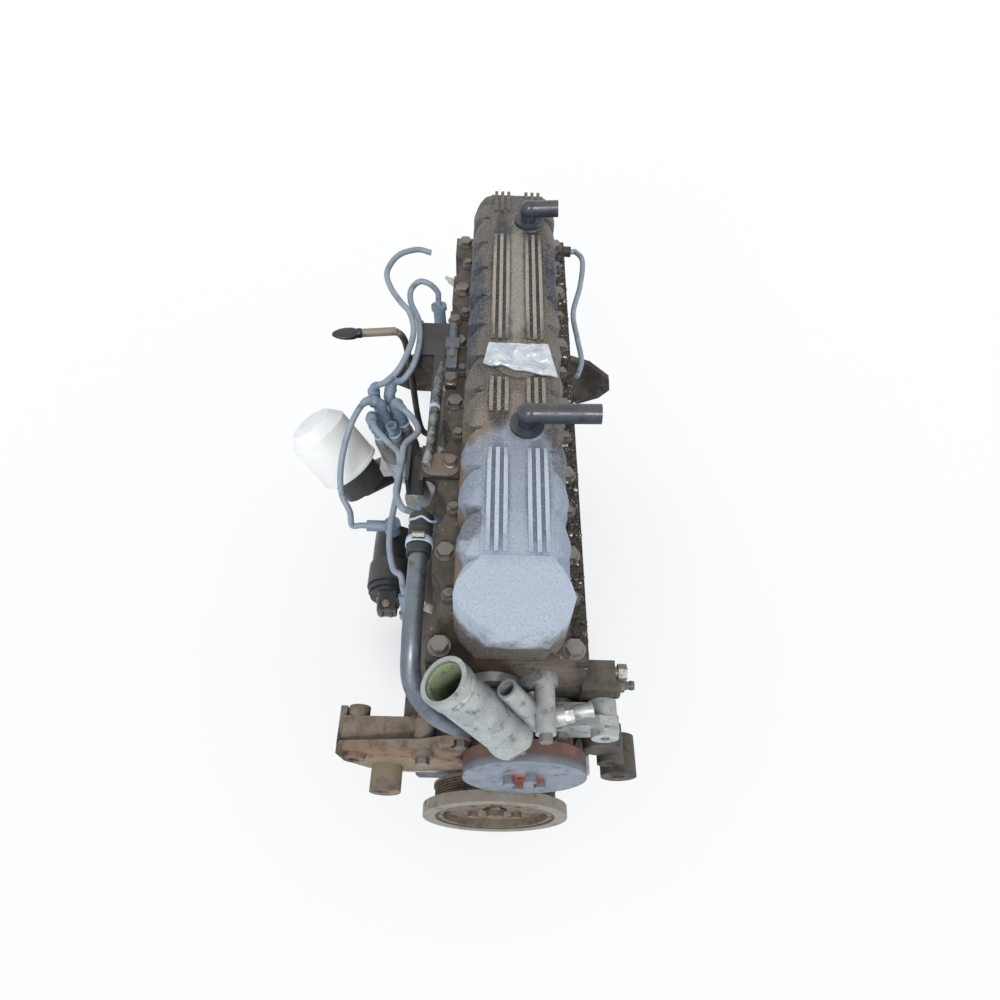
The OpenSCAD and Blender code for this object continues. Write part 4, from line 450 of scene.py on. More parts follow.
# The CAD nodes under each finish
FINISHED_NODES: tuple[tuple[Finish, tuple[str, ...]], ...] = (
    (DUSTY_IRON, ("cylinder_block", "main_bearing_caps", "oil_pump_body")),
    (HEAD_IRON, ("cylinder_head",)),
    (GASKET_FIBRE, ("gaskets",)),
    (COVER_ALLOY, ("valve_cover",)),
    (DULL_STEEL, ("bolts",)),
    (BLACK_ENAMEL, ("oil_pan", "filter_adapter", "sheet_brackets")),
    (BARE_ALLOY, (
        "timing_cover", "thermostat_housing", "hose_barb", "distributor_housing", "alternator_bracket")),
    (PLUG_CERAMIC, ("spark_plugs",)),
    (RUSTY_IRON, ("water_pump_housing", "accessory_bracket")),
    (PLATED_TUBE, ("heater_pipe",)),
    (BLACK_RUBBER, ("heater_hose", "plugs_and_seals", "damper_rubber")),
    (CAP_MOULDING, ("distributor_cap",)),
    (WHITE_ENAMEL, ("oil_filter",)),
    (DUSTY_TUBE, ("dipstick_tube",)),
    (COIL_BLACK, ("ignition_coil", "dipstick")),
    (DARK_IRON, ("steering_pump_bracket",)),
    (BREATHER_RUBBER, ("breathers",)),
    (FOIL, ("filler_tape",)),
    (FORGED_STEEL, (
        "rocker_bridges", "crank_sprocket", "connecting_rods", "timing_chain", "cam_sprocket",
        "valve_springs", "inlet_rockers", "exhaust_rockers")),
    (BOOT_SILICONE, ("lead_boots",)),
    (LEAD_SILICONE, ("lead_six", "lead_two", "lead_coil", "lead_front", "lead_loose", "sensor_lead")),
    (GROUND_STEEL, (
        "crankshaft", "camshaft", "distributor_shaft", "oil_pump_idler", "inlet_valves", "exhaust_valves",
        "inlet_pushrods", "exhaust_pushrods")),
    (HUB_IRON, ("damper_hub", "pump_rotor")),
    (DAMPER_IRON, ("damper_ring",)),
    (PULLEY_PAINT, ("pump_pulley",)),
    (PISTON_ALLOY, ("pistons_1_6", "pistons_2_5", "pistons_3_4")),
)
NODE_FINISH = {node: finish for finish, nodes in FINISHED_NODES for node in nodes}


def smooth_path(points: Sequence[Vector], steps: int) -> list[Vector]:
    """Samples a smooth curve through the points.

    Args:
        points: the points that it passes.
        steps: samples for each stretch.

    Returns:
        The samples, with both end points.
    """
    out: list[Vector] = []
    for i in range(len(points) - 1):
        a, b = points[max(i - 1, 0)], points[i]
        c, d = points[i + 1], points[min(i + 2, len(points) - 1)]
        for k in range(steps):
            t = k / steps
            out.append(0.5 * (2 * b + (c - a) * t + (2 * a - 5 * b + 4 * c - d) * t * t
                              + (3 * b - a - 3 * c + d) * t ** 3))
    return out + [points[-1]]


def path_length(path: Sequence[Vector]) -> float:
    """Returns the length of a path."""
    return sum((b - a).length for a, b in zip(path, path[1:]))


def circle(sides: int) -> Outline:
    """Returns the cosine and sine of evenly spaced angles."""
    return [(math.cos(2 * math.pi * k / sides), math.sin(2 * math.pi * k / sides)) for k in range(sides)]


def baked(name: str, mesh: bmesh.types.BMesh) -> Mesh:
    """Turns an edit mesh into mesh data.

    Args:
        name: the name of the data.
        mesh: the edit mesh, which is freed.

    Returns:
        The mesh data.
    """
    data = bpy.data.meshes.new(name)
    mesh.to_mesh(data)
    mesh.free()
    return data


def rings_mesh(name: str, rings: Sequence[Sequence[Vector]], closed_path: bool = False) -> Mesh:
    """Joins rings of points into a skin, with flat ends unless the path is closed.

    Args:
        name: the mesh's name.
        rings: rings with the same number of points.
        closed_path: whether the last ring joins the first.

    Returns:
        The mesh.
    """
    count, sides = len(rings), len(rings[0])
    mesh = bmesh.new()
    verts = [[mesh.verts.new(p) for p in ring] for ring in rings]
    for i in range(count if closed_path else count - 1):
        for k in range(sides):
            n = (k + 1) % sides
            j = (i + 1) % count
            mesh.faces.new((verts[i][k], verts[i][n], verts[j][n], verts[j][k]))
    if not closed_path:
        mesh.faces.new(list(reversed(verts[0])))
        mesh.faces.new(verts[-1])
    bmesh.ops.recalc_face_normals(mesh, faces=mesh.faces)
    data = baked(name, mesh)
    for face in data.polygons:
        face.use_smooth = len(face.vertices) == 4
    return data


def put(mesh: Mesh, finish: Finish) -> Thing:
    """Links a mesh as an object at the origin.

    Args:
        mesh: the mesh.
        finish: its only finish.

    Returns:
        The object.
    """
    item = bpy.data.objects.new(mesh.name, mesh)
    bpy.context.scene.collection.objects.link(item)
    mesh.materials.clear()
    mesh.materials.append(SHOP.get(finish))
    return item


def square_to(way: Vector, seed: Vector | None = None) -> Vector:
    """Finds a direction at a right angle to another.

    Args:
        way: the other direction, of length one.
        seed: what the result comes near to, or None for up, or right where the way is steep.

    Returns:
        The direction, of length one.
    """
    if seed is None:
        seed = UP if abs(way.z) < STEEP else RIGHT
    return (seed - way * seed.dot(way)).normalized()


def frames(path: Sequence[Vector]) -> list[tuple[Vector, Vector]]:
    """Finds two side directions at each point of a path, turned as little as possible.

    Args:
        path: the points.

    Returns:
        A pair of directions for each point.
    """
    out: list[tuple[Vector, Vector]] = []
    side = None
    for i, _ in enumerate(path):
        way = (path[min(i + 1, len(path) - 1)] - path[max(i - 1, 0)]).normalized()
        side = square_to(way, side)
        out.append((side, way.cross(side)))
    return out


def tube(name: str, path: Sequence[Vector], radius: float | Callable[[float], float], sides: int,
         finish: Finish) -> Thing:
    """Sweeps a round tube along a path.

    Args:
        name: the piece's name.
        path: its centreline.
        radius: its radius, or a function of the distance along the path.
        sides: points around it.
        finish: its finish.

    Returns:
        The object.
    """
    rings, done = [], 0.0
    for i, (point, (u, v)) in enumerate(zip(path, frames(path))):
        done += (point - path[i - 1]).length if i else 0.0
        r = radius(done) if callable(radius) else radius
        rings.append([point + r * (c * u + s * v) for c, s in circle(sides)])
    return put(rings_mesh(name, rings), finish)


def turned(name: str, foot: Vector, way: Vector, profile: Outline, sides: int) -> Mesh:
    """Turns a closed profile about an axis.

    Args:
        name: the mesh's name.
        foot: the axis's start.
        way: the axis's direction.
        profile: closed outline of (radius, height) in millimetres.
        sides: steps around.

    Returns:
        The mesh.
    """
    way = way.normalized()
    u = square_to(way)
    v = way.cross(u)
    rings = []
    for c, s in circle(sides):
        out = c * u + s * v
        rings.append([foot + out * (r * MM) + way * (h * MM) for r, h in profile])
    return rings_mesh(name, rings, True)


def revolve(name: str, foot: Vector, way: Vector, profile: Outline, sides: int,
            finish: Finish) -> Thing:
    """Turns a closed profile about an axis, as an object with a finish."""
    return put(turned(name, foot, way, profile, sides), finish)


def rounded(width: float, height: float, bend: float, steps: int = 4) -> Outline:
    """Outlines a rectangle with rounded corners, about its centre.

    Args:
        width: its size along X.
        height: its size along Y.
        bend: the radius of the corners.
        steps: the steps around each corner.

    Returns:
        The outline.
    """
    out = []
    for cx, cy, start in ((1, 1, 0), (-1, 1, 90), (-1, -1, 180), (1, -1, 270)):
        for k in range(steps + 1):
            a = math.radians(start + 90 * k / steps)
            out.append((cx * (width / 2 - bend) + bend * math.cos(a),
                        cy * (height / 2 - bend) + bend * math.sin(a)))
    return out


class Repeater:
    """Geometry Nodes tree that sets a small solid at points and turns each by its own attribute."""

    def __init__(self, name: str) -> None:
        """Builds the tree with its named inputs.

        Args:
            name: the tree's name.
        """
        tree = bpy.data.node_groups.new(name, "GeometryNodeTree")
        names = {"Geometry": "Geometry", "Solid": "Object", "Size": "Float", "Size Spread": "Float",
                 "Random Turn": "Float", "Finish": "Material"}
        self.keys = {name: tree.interface.new_socket(
            name, in_out="INPUT", socket_type="NodeSocket" + kind).identifier for name, kind in names.items()}
        tree.interface.new_socket("Geometry", in_out="OUTPUT", socket_type="NodeSocketGeometry")
        inside = add(tree, "NodeGroupInput")
        points = add(tree, "GeometryNodeMeshToPoints", {"Mesh": inside.outputs["Geometry"]})
        solid = add(tree, "GeometryNodeObjectInfo", {"Object": inside.outputs["Solid"]})
        heading = add(tree, "GeometryNodeInputNamedAttribute", {"Name": "heading"}, data_type="FLOAT_VECTOR")
        upright = add(tree, "FunctionNodeAlignRotationToVector", {"Vector": heading.outputs[0]}, axis="Z")
        spin = add(tree, "FunctionNodeRandomValue", {8: 11}, data_type="FLOAT")
        tree.links.new(inside.outputs["Random Turn"], spin.inputs[3])
        local = add(tree, "ShaderNodeCombineXYZ", {2: spin.outputs[1]})
        own = add(tree, "FunctionNodeEulerToRotation", {0: local.outputs[0]})
        aimed = add(tree, "FunctionNodeRotateRotation", {
            "Rotation": upright.outputs[0], "Rotate By": own.outputs[0]}, rotation_space="LOCAL")
        low = reckon(tree, "SUBTRACT", 1.0, inside.outputs["Size Spread"])
        high = reckon(tree, "ADD", 1.0, inside.outputs["Size Spread"])
        vary = add(tree, "FunctionNodeRandomValue", {2: low, 3: high, 8: 5}, data_type="FLOAT")
        copies = add(tree, "GeometryNodeInstanceOnPoints", {
            "Points": points.outputs[0], "Instance": solid.outputs["Geometry"], "Rotation": aimed.outputs[0],
            "Scale": reckon(tree, "MULTIPLY", vary.outputs[1], inside.outputs["Size"])})
        whole = add(tree, "GeometryNodeRealizeInstances", {0: copies.outputs[0]})
        dressed = add(tree, "GeometryNodeSetMaterial", {
            "Geometry": whole.outputs[0], "Material": inside.outputs["Finish"]})
        add(tree, "NodeGroupOutput", {0: dressed.outputs[0]})
        self.tree = tree

    def make(self, name: str, solid: Mesh, points: Sequence[tuple[Vector, Vector]], finish: Finish,
             size: float = 1.0, spread: float = 0.0, turn: float = 0.0) -> Thing:
        """Sets copies of a solid at points and bakes them to one mesh.

        Args:
            name: the piece's name.
            solid: the mesh that is repeated, about its own origin, with +Z along the heading.
            points: pairs of place and heading.
            finish: the finish of the copies.
            size: scale of every copy.
            spread: how far the scale varies, as a share.
            turn: largest random turn about the heading, in radians.

        Returns:
            The object.
        """
        cloud = bpy.data.meshes.new(name + "_points")
        cloud.from_pydata([p for p, _ in points], [], [])
        aims = cloud.attributes.new("heading", "FLOAT_VECTOR", "POINT")
        for i, (_, way) in enumerate(points):
            aims.data[i].vector = way
        holder = bpy.data.objects.new(name + "_holder", cloud)
        seed = bpy.data.objects.new(name + "_seed", solid)
        for item in (holder, seed):
            bpy.context.scene.collection.objects.link(item)
        mod = holder.modifiers.new("repeat", "NODES")
        mod.node_group = self.tree
        for key, value in {"Solid": seed, "Size": size, "Size Spread": spread, "Random Turn": turn,
                           "Finish": SHOP.get(finish)}.items():
            mod[self.keys[key]] = value
        bpy.context.view_layer.update()
        ready = holder.evaluated_get(bpy.context.evaluated_depsgraph_get())
        mesh = bpy.data.meshes.new_from_object(ready)
        mesh.name = name
        holder.modifiers.remove(mod)
        for item in (holder, seed):
            bpy.data.objects.remove(item)
        return put(mesh, finish)


def prism(name: str, outline: Outline, low: float, high: float, bevel: float) -> Mesh:
    """Makes a solid from an outline in millimetres, from low to high along Z, with bevelled edges.

    Args:
        name: the mesh's name.
        outline: points in X and Y.
        low: lower height.
        high: upper height.
        bevel: width of the edge bevel.

    Returns:
        The mesh.
    """
    mesh = bmesh.new()
    foot = mesh.faces.new([mesh.verts.new(vec((x, y, low))) for x, y in outline])
    grown = bmesh.ops.extrude_face_region(mesh, geom=[foot])
    up = [g for g in grown["geom"] if isinstance(g, bmesh.types.BMVert)]
    bmesh.ops.translate(mesh, verts=up, vec=(0, 0, (high - low) * MM))
    bmesh.ops.recalc_face_normals(mesh, faces=mesh.faces)
    bmesh.ops.bevel(mesh, geom=mesh.edges[:], offset=bevel * MM, segments=2, affect="EDGES", profile=0.6)
    return baked(name, mesh)


def ngon(radius: float, sides: int) -> Outline:
    """Returns a regular outline with corners at the radius."""
    return [(radius * c, radius * s) for c, s in circle(sides)]


def placed(mesh: Mesh, foot: Vector, way: Vector) -> Mesh:
    """Moves a mesh so that its own +Z points along a direction.

    Args:
        mesh: the mesh.
        foot: where its origin goes.
        way: the direction.

    Returns:
        The same mesh.
    """
    spin = UP.rotation_difference(way.normalized()).to_matrix().to_4x4()
    mesh.transform(Matrix.Translation(foot) @ spin)
    return mesh


def keep(piece: Thing, body: Body = Body.ENGINE) -> Thing:
    """Makes a piece ride on a body and reports it.

    Args:
        piece: the piece.
        body: the body that it moves with.

    Returns:
        The piece.
    """
    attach(piece, body.value)
    LOG.info("piece %s", piece.name)
    return piece


@dataclass
class View:
    """The camera of the photograph, in the row frame."""

    place: Point = (-26.153, -991.183, 1018.488)
    heading: float = 0.037
    tilt: float = 0.959
    roll: float = 0.061
    lens: float = 25.74
    sensor: float = 36.0

    def build(self) -> Thing:
        """Creates the camera and makes it the scene's own.

        Returns:
            The camera.
        """
        flat = math.cos(self.tilt)
        ahead = Vector((math.sin(self.heading) * flat, math.cos(self.heading) * flat, -math.sin(self.tilt)))
        level = Vector((math.cos(self.heading), -math.sin(self.heading), 0))
        above = level.cross(ahead)
        right = math.cos(self.roll) * level + math.sin(self.roll) * above
        up = -math.sin(self.roll) * level + math.cos(self.roll) * above
        data = bpy.data.cameras.new("photo_camera")
        data.sensor_width = self.sensor
        data.lens = self.lens
        data.clip_start = 0.01
        data.clip_end = 50
        camera = bpy.data.objects.new("photo_camera", data)
        turn = Matrix((right, up, -ahead)).transposed().to_4x4()
        camera.matrix_world = Matrix.Translation(vec(self.place)) @ turn
        bpy.context.scene.collection.objects.link(camera)
        bpy.context.scene.camera = camera
        return camera


@dataclass
class Studio:
    """Plain pale floor, world and soft lamps."""

    floor_z: float = -202.2
    half_size: float = 6.0
    sun_energy: float = 1.6
    fill_energy: float = 0.5
    world_level: float = 0.85

    def build(self) -> None:
        """Builds the floor, the world and the lamps."""
        scene = bpy.context.scene
        scene.view_settings.view_transform = "Standard"
        mesh = bpy.data.meshes.new("floor")
        corners = [(x * self.half_size, y * self.half_size, self.floor_z * MM)
                   for x, y in ((-1, -1), (1, -1), (1, 1), (-1, 1))]
        mesh.from_pydata(corners, [], [(0, 1, 2, 3)])
        floor = bpy.data.objects.new("floor", mesh)
        scene.collection.objects.link(floor)
        mesh.materials.append(self._floor_material())
        world = bpy.data.worlds.new("studio")
        world.use_nodes = True
        tree = world.node_tree
        tree.nodes.clear()
        rays = add(tree, "ShaderNodeLightPath")
        seen = reckon(tree, "MAXIMUM", rays.outputs["Is Camera Ray"], rays.outputs["Is Glossy Ray"])
        plain = add(tree, "ShaderNodeBackground", {"Color": linear("#dfe6ee"), "Strength": self.world_level})
        white = add(tree, "ShaderNodeBackground", {"Color": linear("#ffffff"), "Strength": 1.0})
        both = add(tree, "ShaderNodeMixShader", {0: seen, 1: plain.outputs[0], 2: white.outputs[0]})
        add(tree, "ShaderNodeOutputWorld", {0: both.outputs[0]})
        scene.world = world
        self._sun("key_sun", (38, -14, 20), self.sun_energy, 12)
        self._sun("fill_sun", (55, 35, -40), self.fill_energy, 30)

    @staticmethod
    def _sun(name: str, turn: Point, energy: float, spread: float) -> None:
        """Adds one sun with a soft edge.

        Args:
            name: its name.
            turn: its rotation in degrees.
            energy: its strength.
            spread: its angle in degrees.
        """
        lamp = bpy.data.lights.new(name, "SUN")
        lamp.energy = energy
        lamp.angle = math.radians(spread)
        item = bpy.data.objects.new(name, lamp)
        item.rotation_euler = [math.radians(a) for a in turn]
        bpy.context.scene.collection.objects.link(item)

    @staticmethod
    def _floor_material() -> Material:
        """Builds a pale floor that shows white to the camera and keeps a soft shadow.

        Returns:
            Its material.
        """
        material = bpy.data.materials.new("studio_floor")
        material.use_nodes = True
        tree = material.node_tree
        tree.nodes.clear()
        rays = add(tree, "ShaderNodeLightPath")
        seen = reckon(tree, "MULTIPLY", rays.outputs["Is Camera Ray"], 0.55)
        matt = add(tree, "ShaderNodeBsdfDiffuse", {"Color": linear("#f4f4f2")})
        glow = add(tree, "ShaderNodeEmission", {"Color": linear("#ffffff"), "Strength": 1.0})
        both = add(tree, "ShaderNodeMixShader", {0: seen, 1: matt.outputs[0], 2: glow.outputs[0]})
        add(tree, "ShaderNodeOutputMaterial", {0: both.outputs[0]})
        return material


@dataclass
class Ignition:
    """Distributor, its leads and their boots. Lengths are in millimetres."""

    lean: float = math.radians(12)
    gear: Point = (-74, -350, 83.7)
    gear_offset: float = 44.0
    tower_radius: float = 20.0
    boot_top: float = 222.0
    coil_boot_top: float = 226.0
    first_bore: float = -640.125
    bore_pitch: float = 111.25
    plug_shift: float = 3.5
    plug_rise: float = math.radians(41)
    plug_tip: tuple[float, float] = (-26, 250.21)
    plug_seat: float = -60.0
    lead_width: float = 8.0
    coil_tower: Point = (-148, -474, 212)
    front_tip: Point = (-116, -602, 205)
    front_way: Point = (-8, 28, 36)
    bent_way: Point = (-2, 7, 32)
    sleeve: float = 52.0
    # Radii of a sleeve's barrel, its collar and its nose, and how far the nose narrows
    barrel: float = 7.6
    collar: float = 8.3
    nose: float = 6.6
    narrowing: float = 1.9
    # Where the collar and the nose start, as shares of the sleeve
    collar_start: float = 0.62
    nose_start: float = 0.74
    tie_heights: tuple[float, float] = (205, 206)
    # Section of the tie ring, as radius and height
    tie: Outline = ((7.9, -1.6), (8.9, -1.6), (9.0, 1.6), (7.9, 1.6))

    def cap_point(self, angle: float, radius: float, height: float) -> Vector:
        """Finds a point in the leaning frame of the distributor cap.

        Args:
            angle: its angle about the shaft, in degrees.
            radius: its distance from the shaft.
            height: its height along the shaft.

        Returns:
            The point, in metres.
        """
        a = math.radians(angle)
        x, y, z = self.gear
        c, s = math.cos(self.lean), math.sin(self.lean)
        out = radius * math.cos(a) - self.gear_offset
        return vec((x + out * c - height * s, y + radius * math.sin(a), z + out * s + height * c))

    def plug_point(self, cylinder: int, height: float) -> Vector:
        """Finds a point on the axis of a spark plug.

        Args:
            cylinder: the cylinder, from zero at the front.
            height: the distance from the plug's seat.

        Returns:
            The point, in metres.
        """
        x, z = self.plug_tip
        rise = (x - self.plug_seat) * math.tan(self.plug_rise) + height * math.sin(self.plug_rise)
        return vec((self.plug_seat - height * math.cos(self.plug_rise),
                    self.first_bore + self.bore_pitch * cylinder + self.plug_shift, z + rise))

    def routes(self) -> dict[str, tuple[list[Vector], str]]:
        """Lays out the route of each lead.

        Returns:
            For each lead its points and what is on its far end.
        """
        def cap(angle: float, radius: float, height: float) -> list[Vector]:
            """Gives the points of a lead that stands on a tower of the cap."""
            return [self.cap_point(angle, radius, height + d) for d in (-6, 8, 20)]

        def bent(cylinder: int) -> list[Vector]:
            """Gives the points of a lead that comes down to a bent plug boot."""
            knee, rise = self.plug_point(cylinder, 50), Vector(self.bent_way).normalized()
            return [knee + rise * t * MM for t in (52, 40, 26)]

        way = Vector(self.front_way).normalized()
        front = [vec(self.front_tip) + way * t * MM for t in (56, 40, 24)]
        coil = [vec(self.coil_tower) - Vector((t * MM, 0, 0)) for t in (54, 42, 27)]
        mids = {
            "lead_six": (
                (-152, -322, 326), (-136, -331, 344), (-123, -312, 356), (-119, -274, 360), (-123, -239, 363),
                (-135, -212, 369), (-136, -193, 376), (-125, -180, 380), (-111, -180, 376)),
            "lead_two": (
                (-140, -362, 326), (-120, -388, 331), (-112, -412, 335), (-126, -436, 338), (-127, -460, 337),
                (-130, -484, 332), (-130, -506, 332)),
            "lead_coil": (
                (-184, -356, 326), (-198, -378, 318), (-208, -404, 300), (-214, -430, 276), (-213, -452, 252),
                (-203, -467, 234)),
            "lead_front": (
                (-170, -392, 318), (-152, -412, 314), (-138, -420, 300), (-136, -446, 282), (-140, -478, 270),
                (-143, -506, 262), (-142, -534, 256), (-135, -560, 250)),
            "lead_loose": (
                (-176, -330, 326), (-160, -336, 342), (-142, -328, 358), (-130, -296, 366), (-127, -266, 370),
                (-134, -240, 376), (-147, -222, 378), (-162, -198, 380), (-171, -171, 382), (-168, -146, 382),
                (-156, -123, 382), (-133, -109, 380), (-114, -110, 376)),
            "sensor_lead": (
                (97.3, -20, 322), (101, -20, 322), (105, -20, 322), (114, -48, 326), (110, -90, 312),
                (100, -130, 292), (106, -170, 278), (112, -205, 266), (104, -235, 262)),
        }
        mid = {k: [vec(p) for p in v] for k, v in mids.items()}
        top, r = self.boot_top, self.tower_radius
        plug = [self.plug_point(1, h) for h in (82, 70, 56)]
        return {
            "lead_six": (cap(60, r, top) + mid["lead_six"] + bent(4), "object"),
            "lead_two": (cap(0, r, top) + mid["lead_two"] + plug, "object"),
            "lead_coil": (cap(0, 0, self.coil_boot_top) + mid["lead_coil"] + coil, "object"),
            "lead_front": (cap(240, r, top) + mid["lead_front"] + front, "object"),
            "lead_loose": (cap(120, r, top) + mid["lead_loose"], "bare"),
            "sensor_lead": (mid["sensor_lead"], "bare"),
        }

    def build(self) -> None:
        """Builds the leads in the places of their CAD solids."""
        for name, (route, end) in self.routes().items():
            path = smooth_path(route, 12)
            piece = tube(name + "_jacket", path, self.lead_width / 2 * MM, 16, LEAD_SILICONE)
            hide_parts(name)
            keep(piece)
            if name != "sensor_lead":
                self._sleeve(name, path)
        self._ties()

    def _sleeve(self, name: str, path: Sequence[Vector]) -> None:
        """Builds the long tapered boot that grips a lead above its tower.

        Args:
            name: the lead's name.
            path: the lead's centreline, from its tower on.
        """
        done, grip = 0.0, [path[0]]
        for a, b in zip(path, path[1:]):
            done += (b - a).length
            grip.append(b)
            if done > self.sleeve * MM:
                break
        total = path_length(grip)

        def radius(along: float) -> float:
            """Gives the sleeve's radius at a distance along it.

            Args:
                along: the distance from the tower, in metres.

            Returns:
                The radius, in metres.
            """
            t = along / total
            if t < self.collar_start:
                return self.barrel * MM
            if t < self.nose_start:
                return self.collar * MM
            return (self.nose - self.narrowing * (t - self.nose_start) / (1 - self.nose_start)) * MM

        keep(tube(name + "_boot", grip, radius, 20, BOOT_SILICONE))

    def _ties(self) -> None:
        """Builds the pale tie rings around the boots of the cap."""
        points = []
        for k in range(6):
            low, high = (self.cap_point(60 * k, self.tower_radius, h) for h in self.tie_heights)
            points.append((low, (high - low).normalized()))
        ring = turned("tie_ring", Vector(), UP, self.tie, 24)
        keep(Repeater("tie_rings").make("boot_ties", ring, points, TIE_NYLON))


@dataclass
class FoilPatch:
    """Crumpled foil tape over the oil filler."""

    corners: tuple[Point, ...] = (
        (-33, -380, 424.8), (-27, -345, 424.8), (44, -346, 424.8), (54, -400, 424.8))
    rows: int = 40
    underside: float = 424.2
    lift: float = 0.9
    crease_height: float = 3.4

    def build(self) -> Thing:
        """Builds the creased sheet as a closed skin.

        Returns:
            The piece.
        """
        random.seed(4)
        steps = [i / self.rows for i in range(self.rows + 1)]
        top = [[self._point(u, v) for v in steps] for u in steps]
        mesh = bmesh.new()
        upper = [[mesh.verts.new(p) for p in line] for line in top]
        lower = [[mesh.verts.new((p.x, p.y, self.underside * MM)) for p in line] for line in top]
        n = self.rows
        for i in range(n):
            for k in range(n):
                mesh.faces.new((upper[i][k], upper[i + 1][k], upper[i + 1][k + 1], upper[i][k + 1]))
                mesh.faces.new((lower[i][k], lower[i][k + 1], lower[i + 1][k + 1], lower[i + 1][k]))
        for k in range(n):
            mesh.faces.new((upper[0][k], upper[0][k + 1], lower[0][k + 1], lower[0][k]))
            mesh.faces.new((upper[n][k + 1], upper[n][k], lower[n][k], lower[n][k + 1]))
            mesh.faces.new((upper[k + 1][0], upper[k][0], lower[k][0], lower[k + 1][0]))
            mesh.faces.new((upper[k][n], upper[k + 1][n], lower[k + 1][n], lower[k][n]))
        bmesh.ops.recalc_face_normals(mesh, faces=mesh.faces)
        piece = put(baked("foil_patch", mesh), FOIL)
        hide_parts("filler_tape")
        return keep(piece)

    def _point(self, u: float, v: float) -> Vector:
        """Finds one point of the creased upper side.

        Args:
            u: share of the way along the first edge.
            v: share of the way along the second edge.

        Returns:
            The point, in metres.
        """
        a, b, c, d = (vec(p) for p in self.corners)
        edge = 0.03 * math.sin(9 * v + 1) + 0.05 * noise.noise(Vector((v * 5, u * 5, 3)))
        across = min(max(u + edge * (1 - 2 * abs(u - 0.5)), 0), 1)
        p = a.lerp(d, across).lerp(b.lerp(c, across), v)
        folds = noise.noise(Vector((p.x * 95, p.y * 95, 0.5)))
        folds += 0.6 * abs(noise.noise(Vector((p.x * 210, p.y * 210, 2))))
        rim = min(u, 1 - u, v, 1 - v) * 12
        p.z += (self.lift + max(folds, -0.25) * self.crease_height * min(rim, 1.0)) * MM
        p.y += 0.0035 * noise.noise(Vector((u * 6, v * 2, 9))) * (1 - min(rim, 1.0))
        return p


@dataclass
class HeaterLine:
    """Cut-off heater hose with its lip, clamp and tie."""

    rear: Point = (-97, -543, 340)
    front: Point = (-97, -594, 340)
    bore: float = 10.75
    wall_radius: float = 13.6
    pump_stub: Point = (-1, -728, 186)
    stub_way: Point = (-24, -8, 19)
    stub_reach: float = 30.0
    tube_radius: float = 10.5
    tube_route: tuple[Point, ...] = (
        (-97, -560, 340), (-97, -600, 340), (-97, -652, 339), (-97, -692, 332), (-95, -724, 308),
        (-78, -740, 268), (-52, -744, 232))
    clamp_back: float = 12.0
    # Section of the clamp, as radius and height
    clamp: Outline = (
        (14.3, 0), (15.3, 0), (15.5, 4), (15.5, 5), (15.3, 9), (14.3, 9))
    screw_place: Point = (-97, -577.5, 358)
    tie_route: tuple[Point, ...] = (
        (-110, -553, 350), (-103, -556, 357), (-95, -553, 357.5), (-86, -557, 354), (-80, -552, 346))
    tie_radius: float = 1.4

    def build(self) -> None:
        """Builds the hose with worn folds, its clamp and tie, and the tube that runs on to the pump."""
        length = abs(self.front[1] - self.rear[1])
        outline = [self._skin(length * k / 40) for k in range(41)]
        profile = [(self.bore, 0.0)] + outline + [(self.bore, length)]
        hose = revolve("hose_wall", vec(self.rear), FORWARD, profile, 40, BLACK_RUBBER)
        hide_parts("heater_hose")
        keep(hose)
        back = Vector((0, self.clamp_back * MM, 0))
        clamp = revolve("hose_clamp", vec(self.front) + back, -FORWARD, self.clamp, 40, TIE_NYLON)
        bolt = placed(prism("clamp_screw", ngon(4.2, 6), -7, 7, 0.5), vec(self.screw_place), RIGHT)
        screw = put(bolt, DULL_STEEL)
        tie_path = smooth_path([vec(p) for p in self.tie_route], 8)
        tie = tube("hose_tie", tie_path, self.tie_radius * MM, 8, TIE_NYLON)
        for piece in (clamp, screw, tie):
            keep(piece)
        foot, way = Vector(self.pump_stub), Vector(self.stub_way).normalized()
        tip = foot + way * self.stub_reach
        path = smooth_path([vec(p) for p in (*self.tube_route, tip + way * 12, tip - way * 6)], 12)
        line = tube("heater_tube", path, self.tube_radius * MM, 32, PLATED_TUBE)
        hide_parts("heater_pipe")
        keep(line)

    def _skin(self, along: float) -> tuple[float, float]:
        """Finds one point of the hose's outline, with its lip and its folds.

        Args:
            along: the distance from the rear end.

        Returns:
            The radius and the distance.
        """
        fold = 0.5 * math.sin(along * 1.1) if 8 < along < 44 else 0.0
        lip = 1.8 * math.exp(-((along - 2) / 2.2) ** 2) if along < 8 else 0.0
        return (self.wall_radius + fold * 0.8 + lip * 0.35, along)


